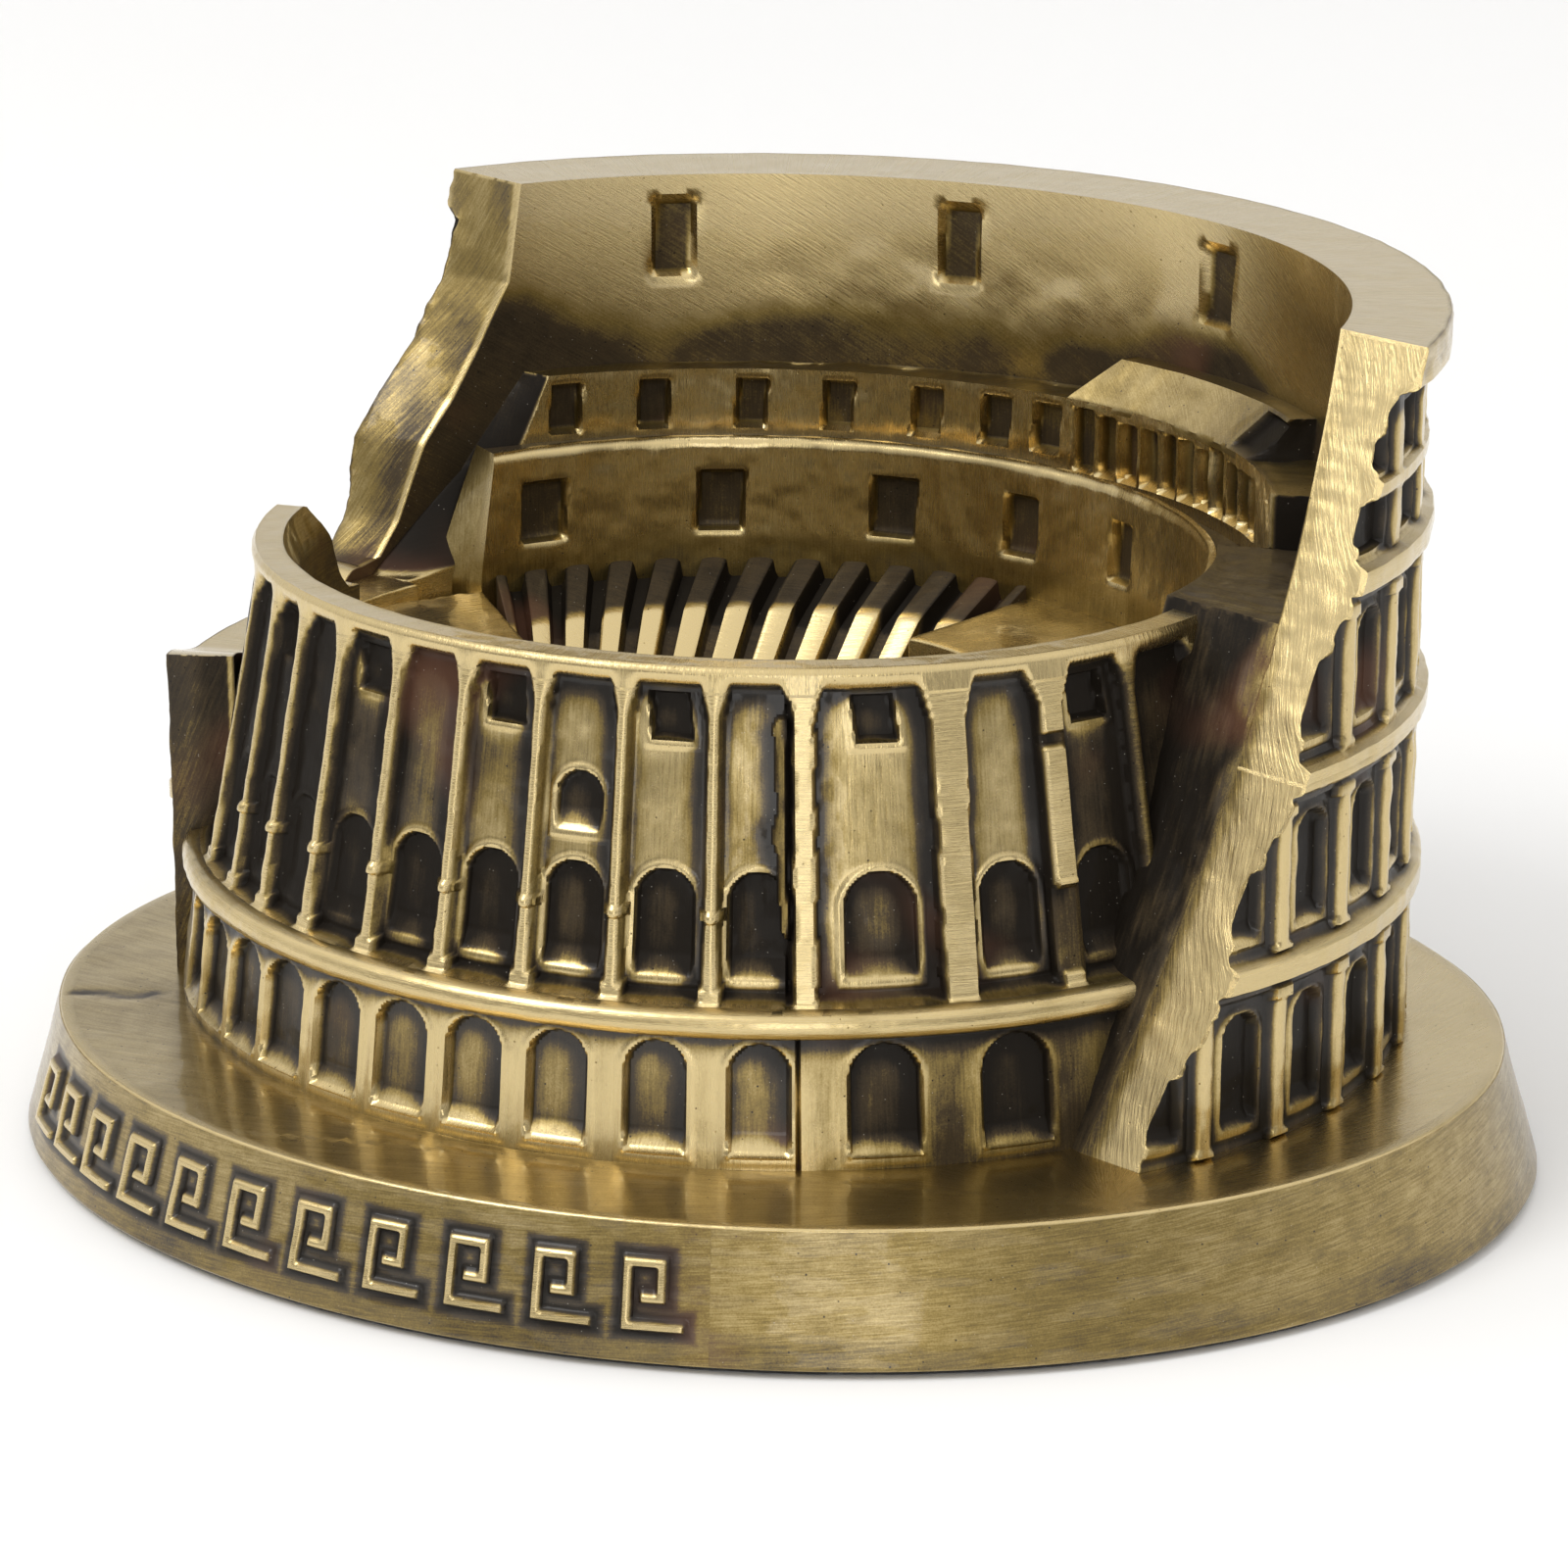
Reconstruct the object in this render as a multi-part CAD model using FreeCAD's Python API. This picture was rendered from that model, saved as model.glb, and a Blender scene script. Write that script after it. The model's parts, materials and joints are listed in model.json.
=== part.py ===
import FreeCAD, Part
import math
import os

# Miniature amphitheatre on an oval plinth, zinc castings soldered together, with a flock pad beneath.
# Lengths are in millimetres and angles in degrees. X is the long axis, Y points to the back and Z up.
# The origin is at the middle of the pad's underside.
# An oval is (half length in X, half width in Y, centre X, centre Y). A place around an oval is given
# by its angle: 0 is the right end, 90 the back, 180 the left end and 270 the front.

# ---- Driving dimensions ----
PAD_PROUD = 0.5
PAD_THICKNESS = 1.0
PLINTH_HEIGHT = 7.6
DECK = PAD_PROUD + PLINTH_HEIGHT
PLINTH_FOOT = (45.0, 35.1, 0.0, 0.0)
PLINTH_EDGE = (42.8, 33.4, 0.0, 0.0)
PLINTH_SIDE_WALL = 2.6
PLINTH_DECK_WALL = 3.0
PAD_INSET = 0.6

TALL_OUTER = (36.4, 31.6, 0.0, 1.7)
TALL_INNER = (32.4, 27.6, 0.0, 1.7)
TALL_TOP = DECK + 42.9
TALL_STUB_TOP = DECK + 20.6
TALL_RIGHT_END = 312.0
TALL_LEFT_END = 187.0
STOREY_FEET = (0.0, 11.0, 21.5)
CORNICE_LEVELS = (9.4, 19.9, 30.1)
CORNICE_HEIGHT = 1.6
CORNICE_PROUD = 1.0
ATTIC_STRING_LEVEL = 35.0
ATTIC_STRING_HEIGHT = 0.9
ATTIC_STRING_PROUD = 0.5
CROWN_HEIGHT = 2.9
CROWN_PROUD = 1.65
BAY_PITCH = 5.5
BAY_COUNT = 24
FIRST_COLUMN = -30.3
COLUMN_RADIUS = 0.55
NICHE_WIDTH = 2.5
NICHE_DEPTH = 0.6
NICHE_HEIGHT_SHARE = 0.7
NICHE_SILL_SHARE = 0.14
END_BAY_ANGLE = 6.0
# A window's size is (width, height, depth).
LOWER_PANEL = (2.4, 2.4, NICHE_DEPTH)
LOWER_PANEL_SILL = DECK + 32.2
UPPER_PANEL = (1.9, 2.6, NICHE_DEPTH)
UPPER_PANEL_SILL = DECK + 36.5
PANEL_REACH = 0.3
INNER_WINDOW = (2.2, 4.4, 0.8)
INNER_WINDOW_SILL = DECK + 37.0
INNER_WINDOW_ANGLES = (47.0, 80.7, 112.3)
# Points in plan that the filed slope at the right passes through.
RIGHT_CUT_TOP = (37.2, -3.9)
RIGHT_CUT_TOP_INSIDE = (32.3, -1.0)
RIGHT_CUT_FOOT = (25.0, -21.2)
# Angles that the broken slope at the left passes through.
LEFT_CUT_TOP = 132.0
LEFT_CUT_TOP_INSIDE = 130.0
LEFT_CUT_LOW = 152.0

LOW_FOOT = (34.3, 28.8, -1.9, 3.0)
LOW_STRING = (33.2, 27.7, -1.9, 3.0)
LOW_SHOULDER = (32.3, 26.8, -1.9, 3.0)
LOW_RIM = (28.9, 23.4, -1.9, 3.0)
LOW_INNER = (26.9, 21.4, -1.9, 3.0)
LOW_TOP = DECK + 27.3
STRING_LEVEL = DECK + 7.4
STRING_HEIGHT = 1.6
STRING_PROUD = 0.7
LOW_ARCADE = (193.0, 322.0)
LOW_UPPER = (166.0, 340.0)
PILASTER_ANGLES = (
    202.0, 211.7, 219.7, 228.3, 237.8, 247.3, 256.7,
    266.2, 276.0, 285.4, 301.2, 313.6, 325.0,
)
PILASTER_WIDTH = 1.0
PILASTER_SINK = 0.05
ARCADE_NICHE = (3.1, 6.0, 0.7)
ARCADE_SILL = DECK + 0.8
ARCADE_END_CLEARANCE = 6.0
SMALL_ARCH = (2.4, 3.8, 1.0)
SMALL_ARCH_SILL = STRING_LEVEL + 2.2
RIM_WINDOW = (2.5, 2.6, 0.9)
RIM_WINDOW_SILL = LOW_TOP - 4.2
RIM_WINDOW_ANGLES = (231.3, 251.2, 272.2, 295.4, 321.5)
ARCADE_FIRST = 211.8
ARCADE_STEP = 7.9
ARCADE_GROWTH = 0.0145
ARCADE_COUNT = 12

RING_INNER = (25.9, 22.1, -1.6, 2.9)
RING_OUTER = (29.4, 24.3, -1.4, 2.7)
RING_TOP = LOW_TOP
RING_ARC = (-17.0, 137.0)
GALLERY_OUTER = TALL_INNER
GALLERY_TOP = DECK + 31.1
GALLERY_ARC = (8.0, 128.0)
RING_WINDOW = (2.4, 3.5, 0.8)
RING_WINDOW_SILL = DECK + 21.4
RING_WINDOW_ANGLES = (43.5, 62.5, 82.0, 105.9, 131.4)
GALLERY_WINDOW = (1.9, 2.7, 0.9)
GALLERY_WINDOW_ANGLES = (64.0, 71.0, 80.0, 91.0, 101.5, 113.4, 124.6)
GALLERY_SLOT = (1.0, 3.0, 0.9)
GALLERY_SLOT_FIRST = 58.5
GALLERY_SLOT_STEP = 3.6
GALLERY_SLOT_COUNT = 11

BLOCK_ARC = (25.0, 58.0)
BLOCK_TOP = DECK + 33.6
BLOCK_FRONT_TOP = (31.2, 26.4, -0.4, 1.9)

SOLDER_ARC = (-50.0, 8.0)
SOLDER_TOP = DECK + 27.9
RAMP_ARC = (128.0, 152.0)
RAMP_FOOT = DECK + 20.0

BOWL_TOP = DECK + 19.7
BOWL_KINK = (21.6, 18.1, -1.6, 2.9)
BOWL_KINK_LEVEL = DECK + 17.6
BOWL_FOOT = (16.4, 13.2, -1.6, 2.9)
BOWL_FOOT_LEVEL = DECK + 12.6
ARENA_LEVEL = DECK + 10.6
ARENA = (14.4, 11.2, -1.6, 2.9)
BACK_BANK_ARC = (61.0, 139.5)
FRONT_BANK_ARC = (205.0, 343.0)
RIB_PITCH = 6.4
RIB_GROOVE = 1.0
RIB_DEPTH = 0.8
GROOVE_RUN_OUT = 2.5
RIGHT_TERRACE_ARC = (-17.0, 61.0)
RIGHT_TERRACE_TOP = DECK + 18.9
LEFT_LANDING_ARC = (139.5, 205.0)
LEFT_LANDING_TOP = DECK + 19.2
OUTER_LANDING_ARC = (152.0, 180.0)
OUTER_LANDING_TOP = DECK + 20.0
OUTER_LANDING_FOOT_ARC = (180.0, 193.0)
OUTER_LANDING_FOOT_TOP = DECK + 6.8
CORE_WALL = 2.4
CORE_TOP = DECK + 10.0
CORE_END_ANGLE = 5.0

PEG_RADIUS = 1.2
PEG_LENGTH = 2.0
PEG_GAP = 0.1
TALL_PEG_ANGLES = (20.0, 90.0, 150.0)
LOW_PEG_ANGLES = (225.0, 300.0)

KEY_COUNT = 11
KEY_ARC = (205.0, 271.0)
KEY_STROKE = 0.5
KEY_WIDTH = 3.4
KEY_HEIGHT = 3.9
KEY_PROUD = 0.45

CLEAR = 1.0
FAR = 120.0
SECTOR_SCALE = 4.0
ARC_STEP = 0.05


def vector(x, y, z):
    return FreeCAD.Vector(x, y, z)


def grown(oval, amount):
    """The oval that lies outside this one by an amount."""
    return (oval[0] + amount, oval[1] + amount, oval[2], oval[3])


def oval_wire(oval, level):
    centre = vector(oval[2], oval[3], level)
    return Part.Wire(Part.Ellipse(centre, oval[0], oval[1]).toShape())


def oval_prism(oval, low, high):
    return Part.Face(oval_wire(oval, low)).extrude(vector(0, 0, high - low))


def oval_loft(sections):
    """A solid through ovals at rising levels, straight between each two."""
    wires = [oval_wire(oval, level) for oval, level in sections]
    return Part.makeLoft(wires, True, True)


def ring(outer, inner, low, high):
    return oval_prism(outer, low, high).cut(oval_prism(inner, low - CLEAR, high + CLEAR))


def point_on(oval, angle, level=0.0):
    turn = math.radians(angle)
    return vector(oval[2] + oval[0] * math.cos(turn), oval[3] + oval[1] * math.sin(turn), level)


def outward(oval, angle):
    """The level unit vector square to the oval, pointing out."""
    turn = math.radians(angle)
    normal = vector(math.cos(turn) / oval[0], math.sin(turn) / oval[1], 0)
    return normal.normalize()


def sector(oval, arc, low, high):
    """A wedge from the oval's centre between two angles around it."""
    steps = max(2, int((arc[1] - arc[0]) / 30) + 1)
    corners = [vector(oval[2], oval[3], low)]
    for step in range(steps + 1):
        angle = arc[0] + (arc[1] - arc[0]) * step / steps
        edge = point_on(oval, angle, low)
        corners.append(corners[0] + (edge - corners[0]) * SECTOR_SCALE)
    corners.append(corners[0])
    return Part.Face(Part.makePolygon(corners)).extrude(vector(0, 0, high - low))


def half_space(first, second, third):
    """A large block with one face through three points, on the side that their turn points to."""
    normal = (second - first).cross(third - first)
    block = Part.makeBox(2 * FAR, 2 * FAR, FAR, vector(-FAR, -FAR, 0))
    turn = FreeCAD.Rotation(vector(0, 0, 1), normal)
    block.Placement = FreeCAD.Placement(first, turn).multiply(block.Placement)
    return block


def angles_by_pitch(oval, start, pitch, count):
    """Angles around the oval at equal steps of arc length."""
    found = [start]
    angle = start
    for _ in range(count - 1):
        travelled = 0.0
        while travelled < pitch:
            turn = math.radians(angle)
            slope = math.hypot(oval[0] * math.sin(turn), oval[1] * math.cos(turn))
            travelled += slope * math.radians(ARC_STEP)
            angle += ARC_STEP
        found.append(angle)
    return found


def on_wall(shape, oval, angle, level):
    """Places a shape whose X runs along the wall and whose Y points out of it."""
    out = outward(oval, angle)
    turn = FreeCAD.Rotation(vector(0, 0, 1), math.degrees(math.atan2(out.y, out.x)) - 90)
    placed = shape.copy()
    placed.Placement = FreeCAD.Placement(point_on(oval, angle, level), turn)
    return placed


def arch_cutter(width, height, depth):
    """A round-headed niche, its sill at Z 0, cut into the wall from clear of its face."""
    half = width / 2
    spring = height - half
    foot_left = vector(-half, CLEAR, 0)
    foot_right = vector(half, CLEAR, 0)
    spring_left = vector(-half, CLEAR, spring)
    spring_right = vector(half, CLEAR, spring)
    outline = [
        Part.makeLine(foot_left, foot_right),
        Part.makeLine(foot_right, spring_right),
        Part.Arc(spring_right, vector(0, CLEAR, height), spring_left).toShape(),
        Part.makeLine(spring_left, foot_left),
    ]
    return Part.Face(Part.Wire(outline)).extrude(vector(0, -CLEAR - depth, 0))


def window_cutter(size, reach=CLEAR):
    """A square-headed window, its sill at Z 0, cut into the wall from a reach outside its face."""
    width, height, depth = size
    return Part.makeBox(width, depth + reach, height, vector(-width / 2, -depth, 0))


def inner_window_cutter(size):
    """The same window, cut into a wall from its inner face."""
    window = window_cutter(size, size[2])
    window.rotate(vector(0, 0, 0), vector(0, 0, 1), 180)
    return window


def joined(shapes):
    return shapes[0].fuse(shapes[1:]) if len(shapes) > 1 else shapes[0]


def pegs(oval, angles, radius, low, high):
    return [Part.makeCylinder(radius, high - low, point_on(oval, angle, low)) for angle in angles]


def middle(outer, inner):
    return tuple((a + b) / 2 for a, b in zip(outer, inner))


# ---- Plinth and pad ----
def key_unit():
    """One unit of a square running key: a frame open at one side with a hooked end inside."""
    stroke = KEY_STROKE
    deep = 2 * KEY_PROUD
    bars = (
        (0, 0, KEY_WIDTH, stroke),
        (0, 0, stroke, KEY_HEIGHT),
        (0, KEY_HEIGHT - stroke, KEY_WIDTH - 2 * stroke, stroke),
        (KEY_WIDTH - 3 * stroke, 3 * stroke, stroke, KEY_HEIGHT - 3 * stroke),
        (2 * stroke, 3 * stroke, KEY_WIDTH - 4 * stroke, stroke),
    )
    boxes = []
    for left, low, wide, tall in bars:
        boxes.append(Part.makeBox(wide, deep, tall, vector(left - KEY_WIDTH / 2, -KEY_PROUD, low)))
    return joined(boxes)


def ornament():
    """The running key border, raised on the left of the plinth's front."""
    unit = key_unit()
    side = middle(PLINTH_FOOT, PLINTH_EDGE)
    lean = math.degrees(math.atan2(PLINTH_FOOT[1] - PLINTH_EDGE[1], PLINTH_HEIGHT))
    leaned = unit.copy()
    leaned.rotate(vector(0, 0, KEY_HEIGHT / 2), vector(1, 0, 0), lean)
    units = []
    for index in range(KEY_COUNT):
        angle = KEY_ARC[0] + (KEY_ARC[1] - KEY_ARC[0]) * index / (KEY_COUNT - 1)
        low = PAD_PROUD + (PLINTH_HEIGHT - KEY_HEIGHT) / 2
        units.append(on_wall(leaned, side, angle, low))
    return units


def plinth():
    body = oval_loft(((PLINTH_FOOT, PAD_PROUD), (PLINTH_EDGE, DECK)))
    body = body.fuse(ornament())
    core_top = DECK - PLINTH_DECK_WALL
    hollow = oval_prism(grown(PLINTH_EDGE, -PLINTH_SIDE_WALL), PAD_PROUD - CLEAR, core_top)
    recess = oval_prism(grown(PLINTH_FOOT, -PAD_INSET), PAD_PROUD - CLEAR, PAD_THICKNESS)
    tall_middle = middle(TALL_OUTER, TALL_INNER)
    low_middle = middle(LOW_FOOT, LOW_INNER)
    socket = PEG_RADIUS + PEG_GAP
    low = DECK - PEG_LENGTH - PEG_GAP
    sockets = pegs(tall_middle, TALL_PEG_ANGLES, socket, low, DECK + CLEAR)
    sockets += pegs(low_middle, LOW_PEG_ANGLES, socket, low, DECK + CLEAR)
    return body.cut([hollow, recess] + sockets)


def felt_pad():
    return oval_prism(grown(PLINTH_FOOT, -PAD_INSET), 0, PAD_THICKNESS)


# ---- Tall outer wall ----
def right_cut():
    """The filed slope across the tall wall's right end."""
    top = vector(*RIGHT_CUT_TOP, TALL_TOP)
    top_inside = vector(*RIGHT_CUT_TOP_INSIDE, TALL_TOP)
    foot = vector(*RIGHT_CUT_FOOT, DECK)
    return half_space(top, top_inside, foot)


def left_cut():
    """The broken slope at the tall wall's left end, above its low stub."""
    top = point_on(TALL_OUTER, LEFT_CUT_TOP, TALL_TOP)
    top_inside = point_on(TALL_INNER, LEFT_CUT_TOP_INSIDE, TALL_TOP)
    low = point_on(TALL_OUTER, LEFT_CUT_LOW, TALL_STUB_TOP)
    slope = half_space(top, low, top_inside)
    above = Part.makeBox(2 * FAR, 2 * FAR, FAR, vector(-2 * FAR, -FAR, TALL_STUB_TOP))
    return slope.common(above)


def tall_bands():
    """Every moulding that stands out from the tall wall."""
    bands = []
    for level in CORNICE_LEVELS:
        low = DECK + level
        bands.append(ring(grown(TALL_OUTER, CORNICE_PROUD), TALL_INNER, low, low + CORNICE_HEIGHT))
    low = DECK + ATTIC_STRING_LEVEL
    string = grown(TALL_OUTER, ATTIC_STRING_PROUD)
    bands.append(ring(string, TALL_INNER, low, low + ATTIC_STRING_HEIGHT))
    crown = grown(TALL_OUTER, CROWN_PROUD)
    bands.append(ring(crown, TALL_INNER, TALL_TOP - CROWN_HEIGHT, TALL_TOP))
    return bands


def tall_openings(columns):
    """Round-headed niches on three storeys and two rows of square panels in the attic."""
    cutters = []
    bays = [columns[0] - END_BAY_ANGLE] + [(a + b) / 2 for a, b in zip(columns, columns[1:])]
    for foot, cornice in zip(STOREY_FEET, CORNICE_LEVELS):
        storey = cornice - foot
        arch = arch_cutter(NICHE_WIDTH, NICHE_HEIGHT_SHARE * storey, NICHE_DEPTH)
        sill = DECK + foot + NICHE_SILL_SHARE * storey
        cutters += [on_wall(arch, TALL_OUTER, angle, sill) for angle in bays]
    lower_panel = window_cutter(LOWER_PANEL, PANEL_REACH)
    upper_panel = window_cutter(UPPER_PANEL, PANEL_REACH)
    for angle in bays:
        cutters.append(on_wall(lower_panel, TALL_OUTER, angle, LOWER_PANEL_SILL))
        cutters.append(on_wall(upper_panel, TALL_OUTER, angle, UPPER_PANEL_SILL))
    inner_window = inner_window_cutter(INNER_WINDOW)
    for angle in INNER_WINDOW_ANGLES:
        cutters.append(on_wall(inner_window, TALL_INNER, angle, INNER_WINDOW_SILL))
    return cutters


def tall_outer_wall():
    wall = ring(TALL_OUTER, TALL_INNER, DECK, TALL_TOP)
    columns = angles_by_pitch(TALL_OUTER, FIRST_COLUMN, BAY_PITCH, BAY_COUNT + 1)
    top = TALL_TOP - CROWN_HEIGHT
    shafts = pegs(TALL_OUTER, columns, COLUMN_RADIUS, DECK, top)
    wall = wall.fuse(tall_bands() + shafts)
    wall = wall.cut(tall_openings(columns))
    span = sector(TALL_OUTER, (TALL_RIGHT_END - 360, TALL_LEFT_END), DECK - CLEAR, TALL_TOP + CLEAR)
    wall = wall.common(span).cut([right_cut(), left_cut()])
    peg_places = middle(TALL_OUTER, TALL_INNER)
    feet = pegs(peg_places, TALL_PEG_ANGLES, PEG_RADIUS, DECK - PEG_LENGTH, DECK + CLEAR)
    return wall.fuse(feet)


# ---- Low front wall ----
def low_wall_solid():
    """The battered outside of the low wall, with its rolled string course."""
    string_top = STRING_LEVEL + STRING_HEIGHT
    ground = oval_loft(((LOW_FOOT, DECK), (LOW_STRING, string_top)))
    upper = oval_loft(((LOW_SHOULDER, string_top), (LOW_RIM, LOW_TOP)))
    roll = oval_prism(grown(LOW_STRING, STRING_PROUD), STRING_LEVEL, string_top)
    return ground.fuse(roll), upper


def low_pilasters():
    """Tapered pilasters that follow the batter of the upper storey."""
    string_top = STRING_LEVEL + STRING_HEIGHT
    height = LOW_TOP - string_top
    shafts = []
    for angle in PILASTER_ANGLES:
        foot = point_on(LOW_SHOULDER, angle, string_top)
        head = point_on(LOW_RIM, angle, LOW_TOP)
        lean = FreeCAD.Rotation(vector(0, 0, 1), head - foot)
        shaft = Part.makeCylinder(PILASTER_WIDTH / 2, height + CLEAR, vector(0, 0, 0))
        shaft.Placement = FreeCAD.Placement(foot - outward(LOW_RIM, angle) * PILASTER_SINK, lean)
        shafts.append(shaft)
    return shafts


def arcade_angles():
    """The ground arcade's bays, which widen towards the right."""
    return [ARCADE_FIRST + ARCADE_STEP * k + ARCADE_GROWTH * k ** 3 for k in range(ARCADE_COUNT)]


def low_openings():
    cutters = []
    niche = arch_cutter(*ARCADE_NICHE)
    arcade_face = middle(LOW_FOOT, LOW_STRING)
    for angle in arcade_angles():
        if angle < LOW_ARCADE[1] - ARCADE_END_CLEARANCE:
            cutters.append(on_wall(niche, arcade_face, angle, ARCADE_SILL))
    small_arch = arch_cutter(*SMALL_ARCH)
    for left, right in zip(PILASTER_ANGLES, PILASTER_ANGLES[1:]):
        cutters.append(on_wall(small_arch, LOW_SHOULDER, (left + right) / 2, SMALL_ARCH_SILL))
    window = window_cutter(RIM_WINDOW)
    for angle in RIM_WINDOW_ANGLES:
        cutters.append(on_wall(window, LOW_RIM, angle, RIM_WINDOW_SILL))
    return cutters


def low_front_wall(tall):
    ground, upper = low_wall_solid()
    upper = upper.fuse(low_pilasters())
    string_top = STRING_LEVEL + STRING_HEIGHT
    ground = ground.common(sector(LOW_FOOT, LOW_ARCADE, DECK - CLEAR, string_top))
    upper = upper.common(sector(LOW_FOOT, LOW_UPPER, string_top, LOW_TOP))
    inside = oval_prism(LOW_INNER, DECK - CLEAR, LOW_TOP + CLEAR)
    wall = ground.fuse(upper).cut([inside] + low_openings())
    wall = wall.cut(tall)
    peg_places = middle(LOW_FOOT, LOW_INNER)
    feet = pegs(peg_places, LOW_PEG_ANGLES, PEG_RADIUS, DECK - PEG_LENGTH, DECK + CLEAR)
    return wall.fuse(feet)


# ---- Inner tiers ----
def ring_wall(low_wall):
    wall = ring(RING_OUTER, RING_INNER, DECK, RING_TOP)
    wall = wall.common(sector(RING_INNER, RING_ARC, DECK - CLEAR, RING_TOP + CLEAR))
    window = inner_window_cutter(RING_WINDOW)
    cutters = [on_wall(window, RING_INNER, angle, RING_WINDOW_SILL) for angle in RING_WINDOW_ANGLES]
    return wall.cut(cutters + [low_wall])


def gallery_wall():
    wall = ring(GALLERY_OUTER, RING_OUTER, DECK, GALLERY_TOP)
    wall = wall.common(sector(RING_OUTER, GALLERY_ARC, DECK - CLEAR, GALLERY_TOP + CLEAR))
    window = inner_window_cutter(GALLERY_WINDOW)
    slot = inner_window_cutter(GALLERY_SLOT)
    cutters = [on_wall(window, RING_OUTER, angle, RING_TOP) for angle in GALLERY_WINDOW_ANGLES]
    for index in range(GALLERY_SLOT_COUNT):
        angle = GALLERY_SLOT_FIRST - GALLERY_SLOT_STEP * index
        cutters.append(on_wall(slot, RING_OUTER, angle, RING_TOP))
    return wall.cut(cutters)


def terrace_block():
    """The raised block on the gallery's right, with a sloping front."""
    block = oval_prism(GALLERY_OUTER, GALLERY_TOP, BLOCK_TOP)
    hollow = oval_loft(((RING_OUTER, GALLERY_TOP), (BLOCK_FRONT_TOP, BLOCK_TOP)))
    block = block.cut(hollow)
    return block.common(sector(RING_OUTER, BLOCK_ARC, GALLERY_TOP - CLEAR, BLOCK_TOP + CLEAR))


def solder_fill(neighbours):
    """The filed solder that closes the gap between the low wall and the tall wall's right end."""
    fill = oval_prism(TALL_INNER, DECK, SOLDER_TOP)
    fill = fill.common(sector(TALL_INNER, SOLDER_ARC, DECK - CLEAR, SOLDER_TOP + CLEAR))
    inside = oval_prism(RING_INNER, DECK - CLEAR, SOLDER_TOP + CLEAR)
    low_inside = oval_prism(LOW_INNER, DECK - CLEAR, SOLDER_TOP + CLEAR)
    fill = fill.cut([inside, low_inside, right_cut()] + neighbours)
    return max(fill.Solids, key=lambda solid: solid.Volume)


def ramp_left(neighbours):
    """The broken slope between the tiers' left ends and the tall wall."""
    ramp = oval_prism(TALL_INNER, DECK, GALLERY_TOP)
    ramp = ramp.common(sector(TALL_INNER, RAMP_ARC, DECK - CLEAR, GALLERY_TOP + CLEAR))
    ramp = ramp.cut(oval_prism(LOW_INNER, DECK - CLEAR, GALLERY_TOP + CLEAR))
    high_in = point_on(RING_INNER, RAMP_ARC[0], GALLERY_TOP)
    high_out = point_on(TALL_INNER, RAMP_ARC[0], GALLERY_TOP)
    foot = point_on(TALL_INNER, RAMP_ARC[1], RAMP_FOOT)
    ramp = ramp.cut([half_space(high_in, high_out, foot)] + neighbours)
    return max(ramp.Solids, key=lambda solid: solid.Volume)


# ---- Seating bowl ----
def bowl_hollow(outside):
    """The space above the two slopes of the seating."""
    sections = (
        (ARENA, ARENA_LEVEL),
        (BOWL_FOOT, BOWL_FOOT_LEVEL),
        (BOWL_KINK, BOWL_KINK_LEVEL),
        (outside, BOWL_TOP),
    )
    return joined([oval_loft(pair) for pair in zip(sections, sections[1:])])


def core(arc):
    """The space that the casting's core leaves under the seating."""
    hollow = ring(grown(RING_INNER, -CORE_WALL), BOWL_FOOT, DECK - CLEAR, CORE_TOP)
    core_arc = (arc[0] + CORE_END_ANGLE, arc[1] - CORE_END_ANGLE)
    return hollow.common(sector(RING_INNER, core_arc, DECK - 2 * CLEAR, CORE_TOP))


def seating_bank(arc, outside):
    """A bank of seating with radial ribs, as grooves cut between them."""
    bank = oval_prism(outside, DECK, BOWL_TOP).cut(bowl_hollow(outside))
    bank = bank.cut(oval_prism(ARENA, DECK - CLEAR, BOWL_TOP + CLEAR))
    bank = bank.common(sector(RING_INNER, arc, DECK - CLEAR, BOWL_TOP + CLEAR))
    count = int((arc[1] - arc[0]) / RIB_PITCH)
    pitch = (arc[1] - arc[0]) / count
    grooves = [groove(arc[0] + pitch * (index + 0.5)) for index in range(count)]
    return bank.cut(grooves + [core(arc)])


def groove(angle):
    """A straight-sided groove that follows both slopes of the seating."""
    top = point_on(RING_INNER, angle, BOWL_TOP)
    foot = point_on(BOWL_FOOT, angle, BOWL_FOOT_LEVEL)
    inward = vector(foot.x - top.x, foot.y - top.y, 0)
    reach = inward.Length
    inward.normalize()
    kink_reach = (point_on(BOWL_KINK, angle, BOWL_TOP) - top).dot(inward)
    kink_drop = BOWL_TOP - BOWL_KINK_LEVEL
    foot_drop = BOWL_TOP - BOWL_FOOT_LEVEL
    profile = (
        (-CLEAR, RIB_DEPTH),
        (kink_reach, kink_drop + RIB_DEPTH),
        (reach, foot_drop + RIB_DEPTH),
        (reach + GROOVE_RUN_OUT, foot_drop + 2 * RIB_DEPTH),
        (reach + GROOVE_RUN_OUT, -CLEAR),
        (-CLEAR, -CLEAR),
        (-CLEAR, RIB_DEPTH),
    )
    side = vector(-inward.y, inward.x, 0) * (RIB_GROOVE / 2)
    corners = [top + inward * along + side - vector(0, 0, drop) for along, drop in profile]
    return Part.Face(Part.makePolygon(corners)).extrude(side * -2)


def terrace(arc, top, outside):
    """A flat landing between the arena and the wall around it."""
    landing = ring(outside, ARENA, DECK, top)
    landing = landing.common(sector(RING_INNER, arc, DECK - CLEAR, top + CLEAR))
    return landing.cut(core(arc))


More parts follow.
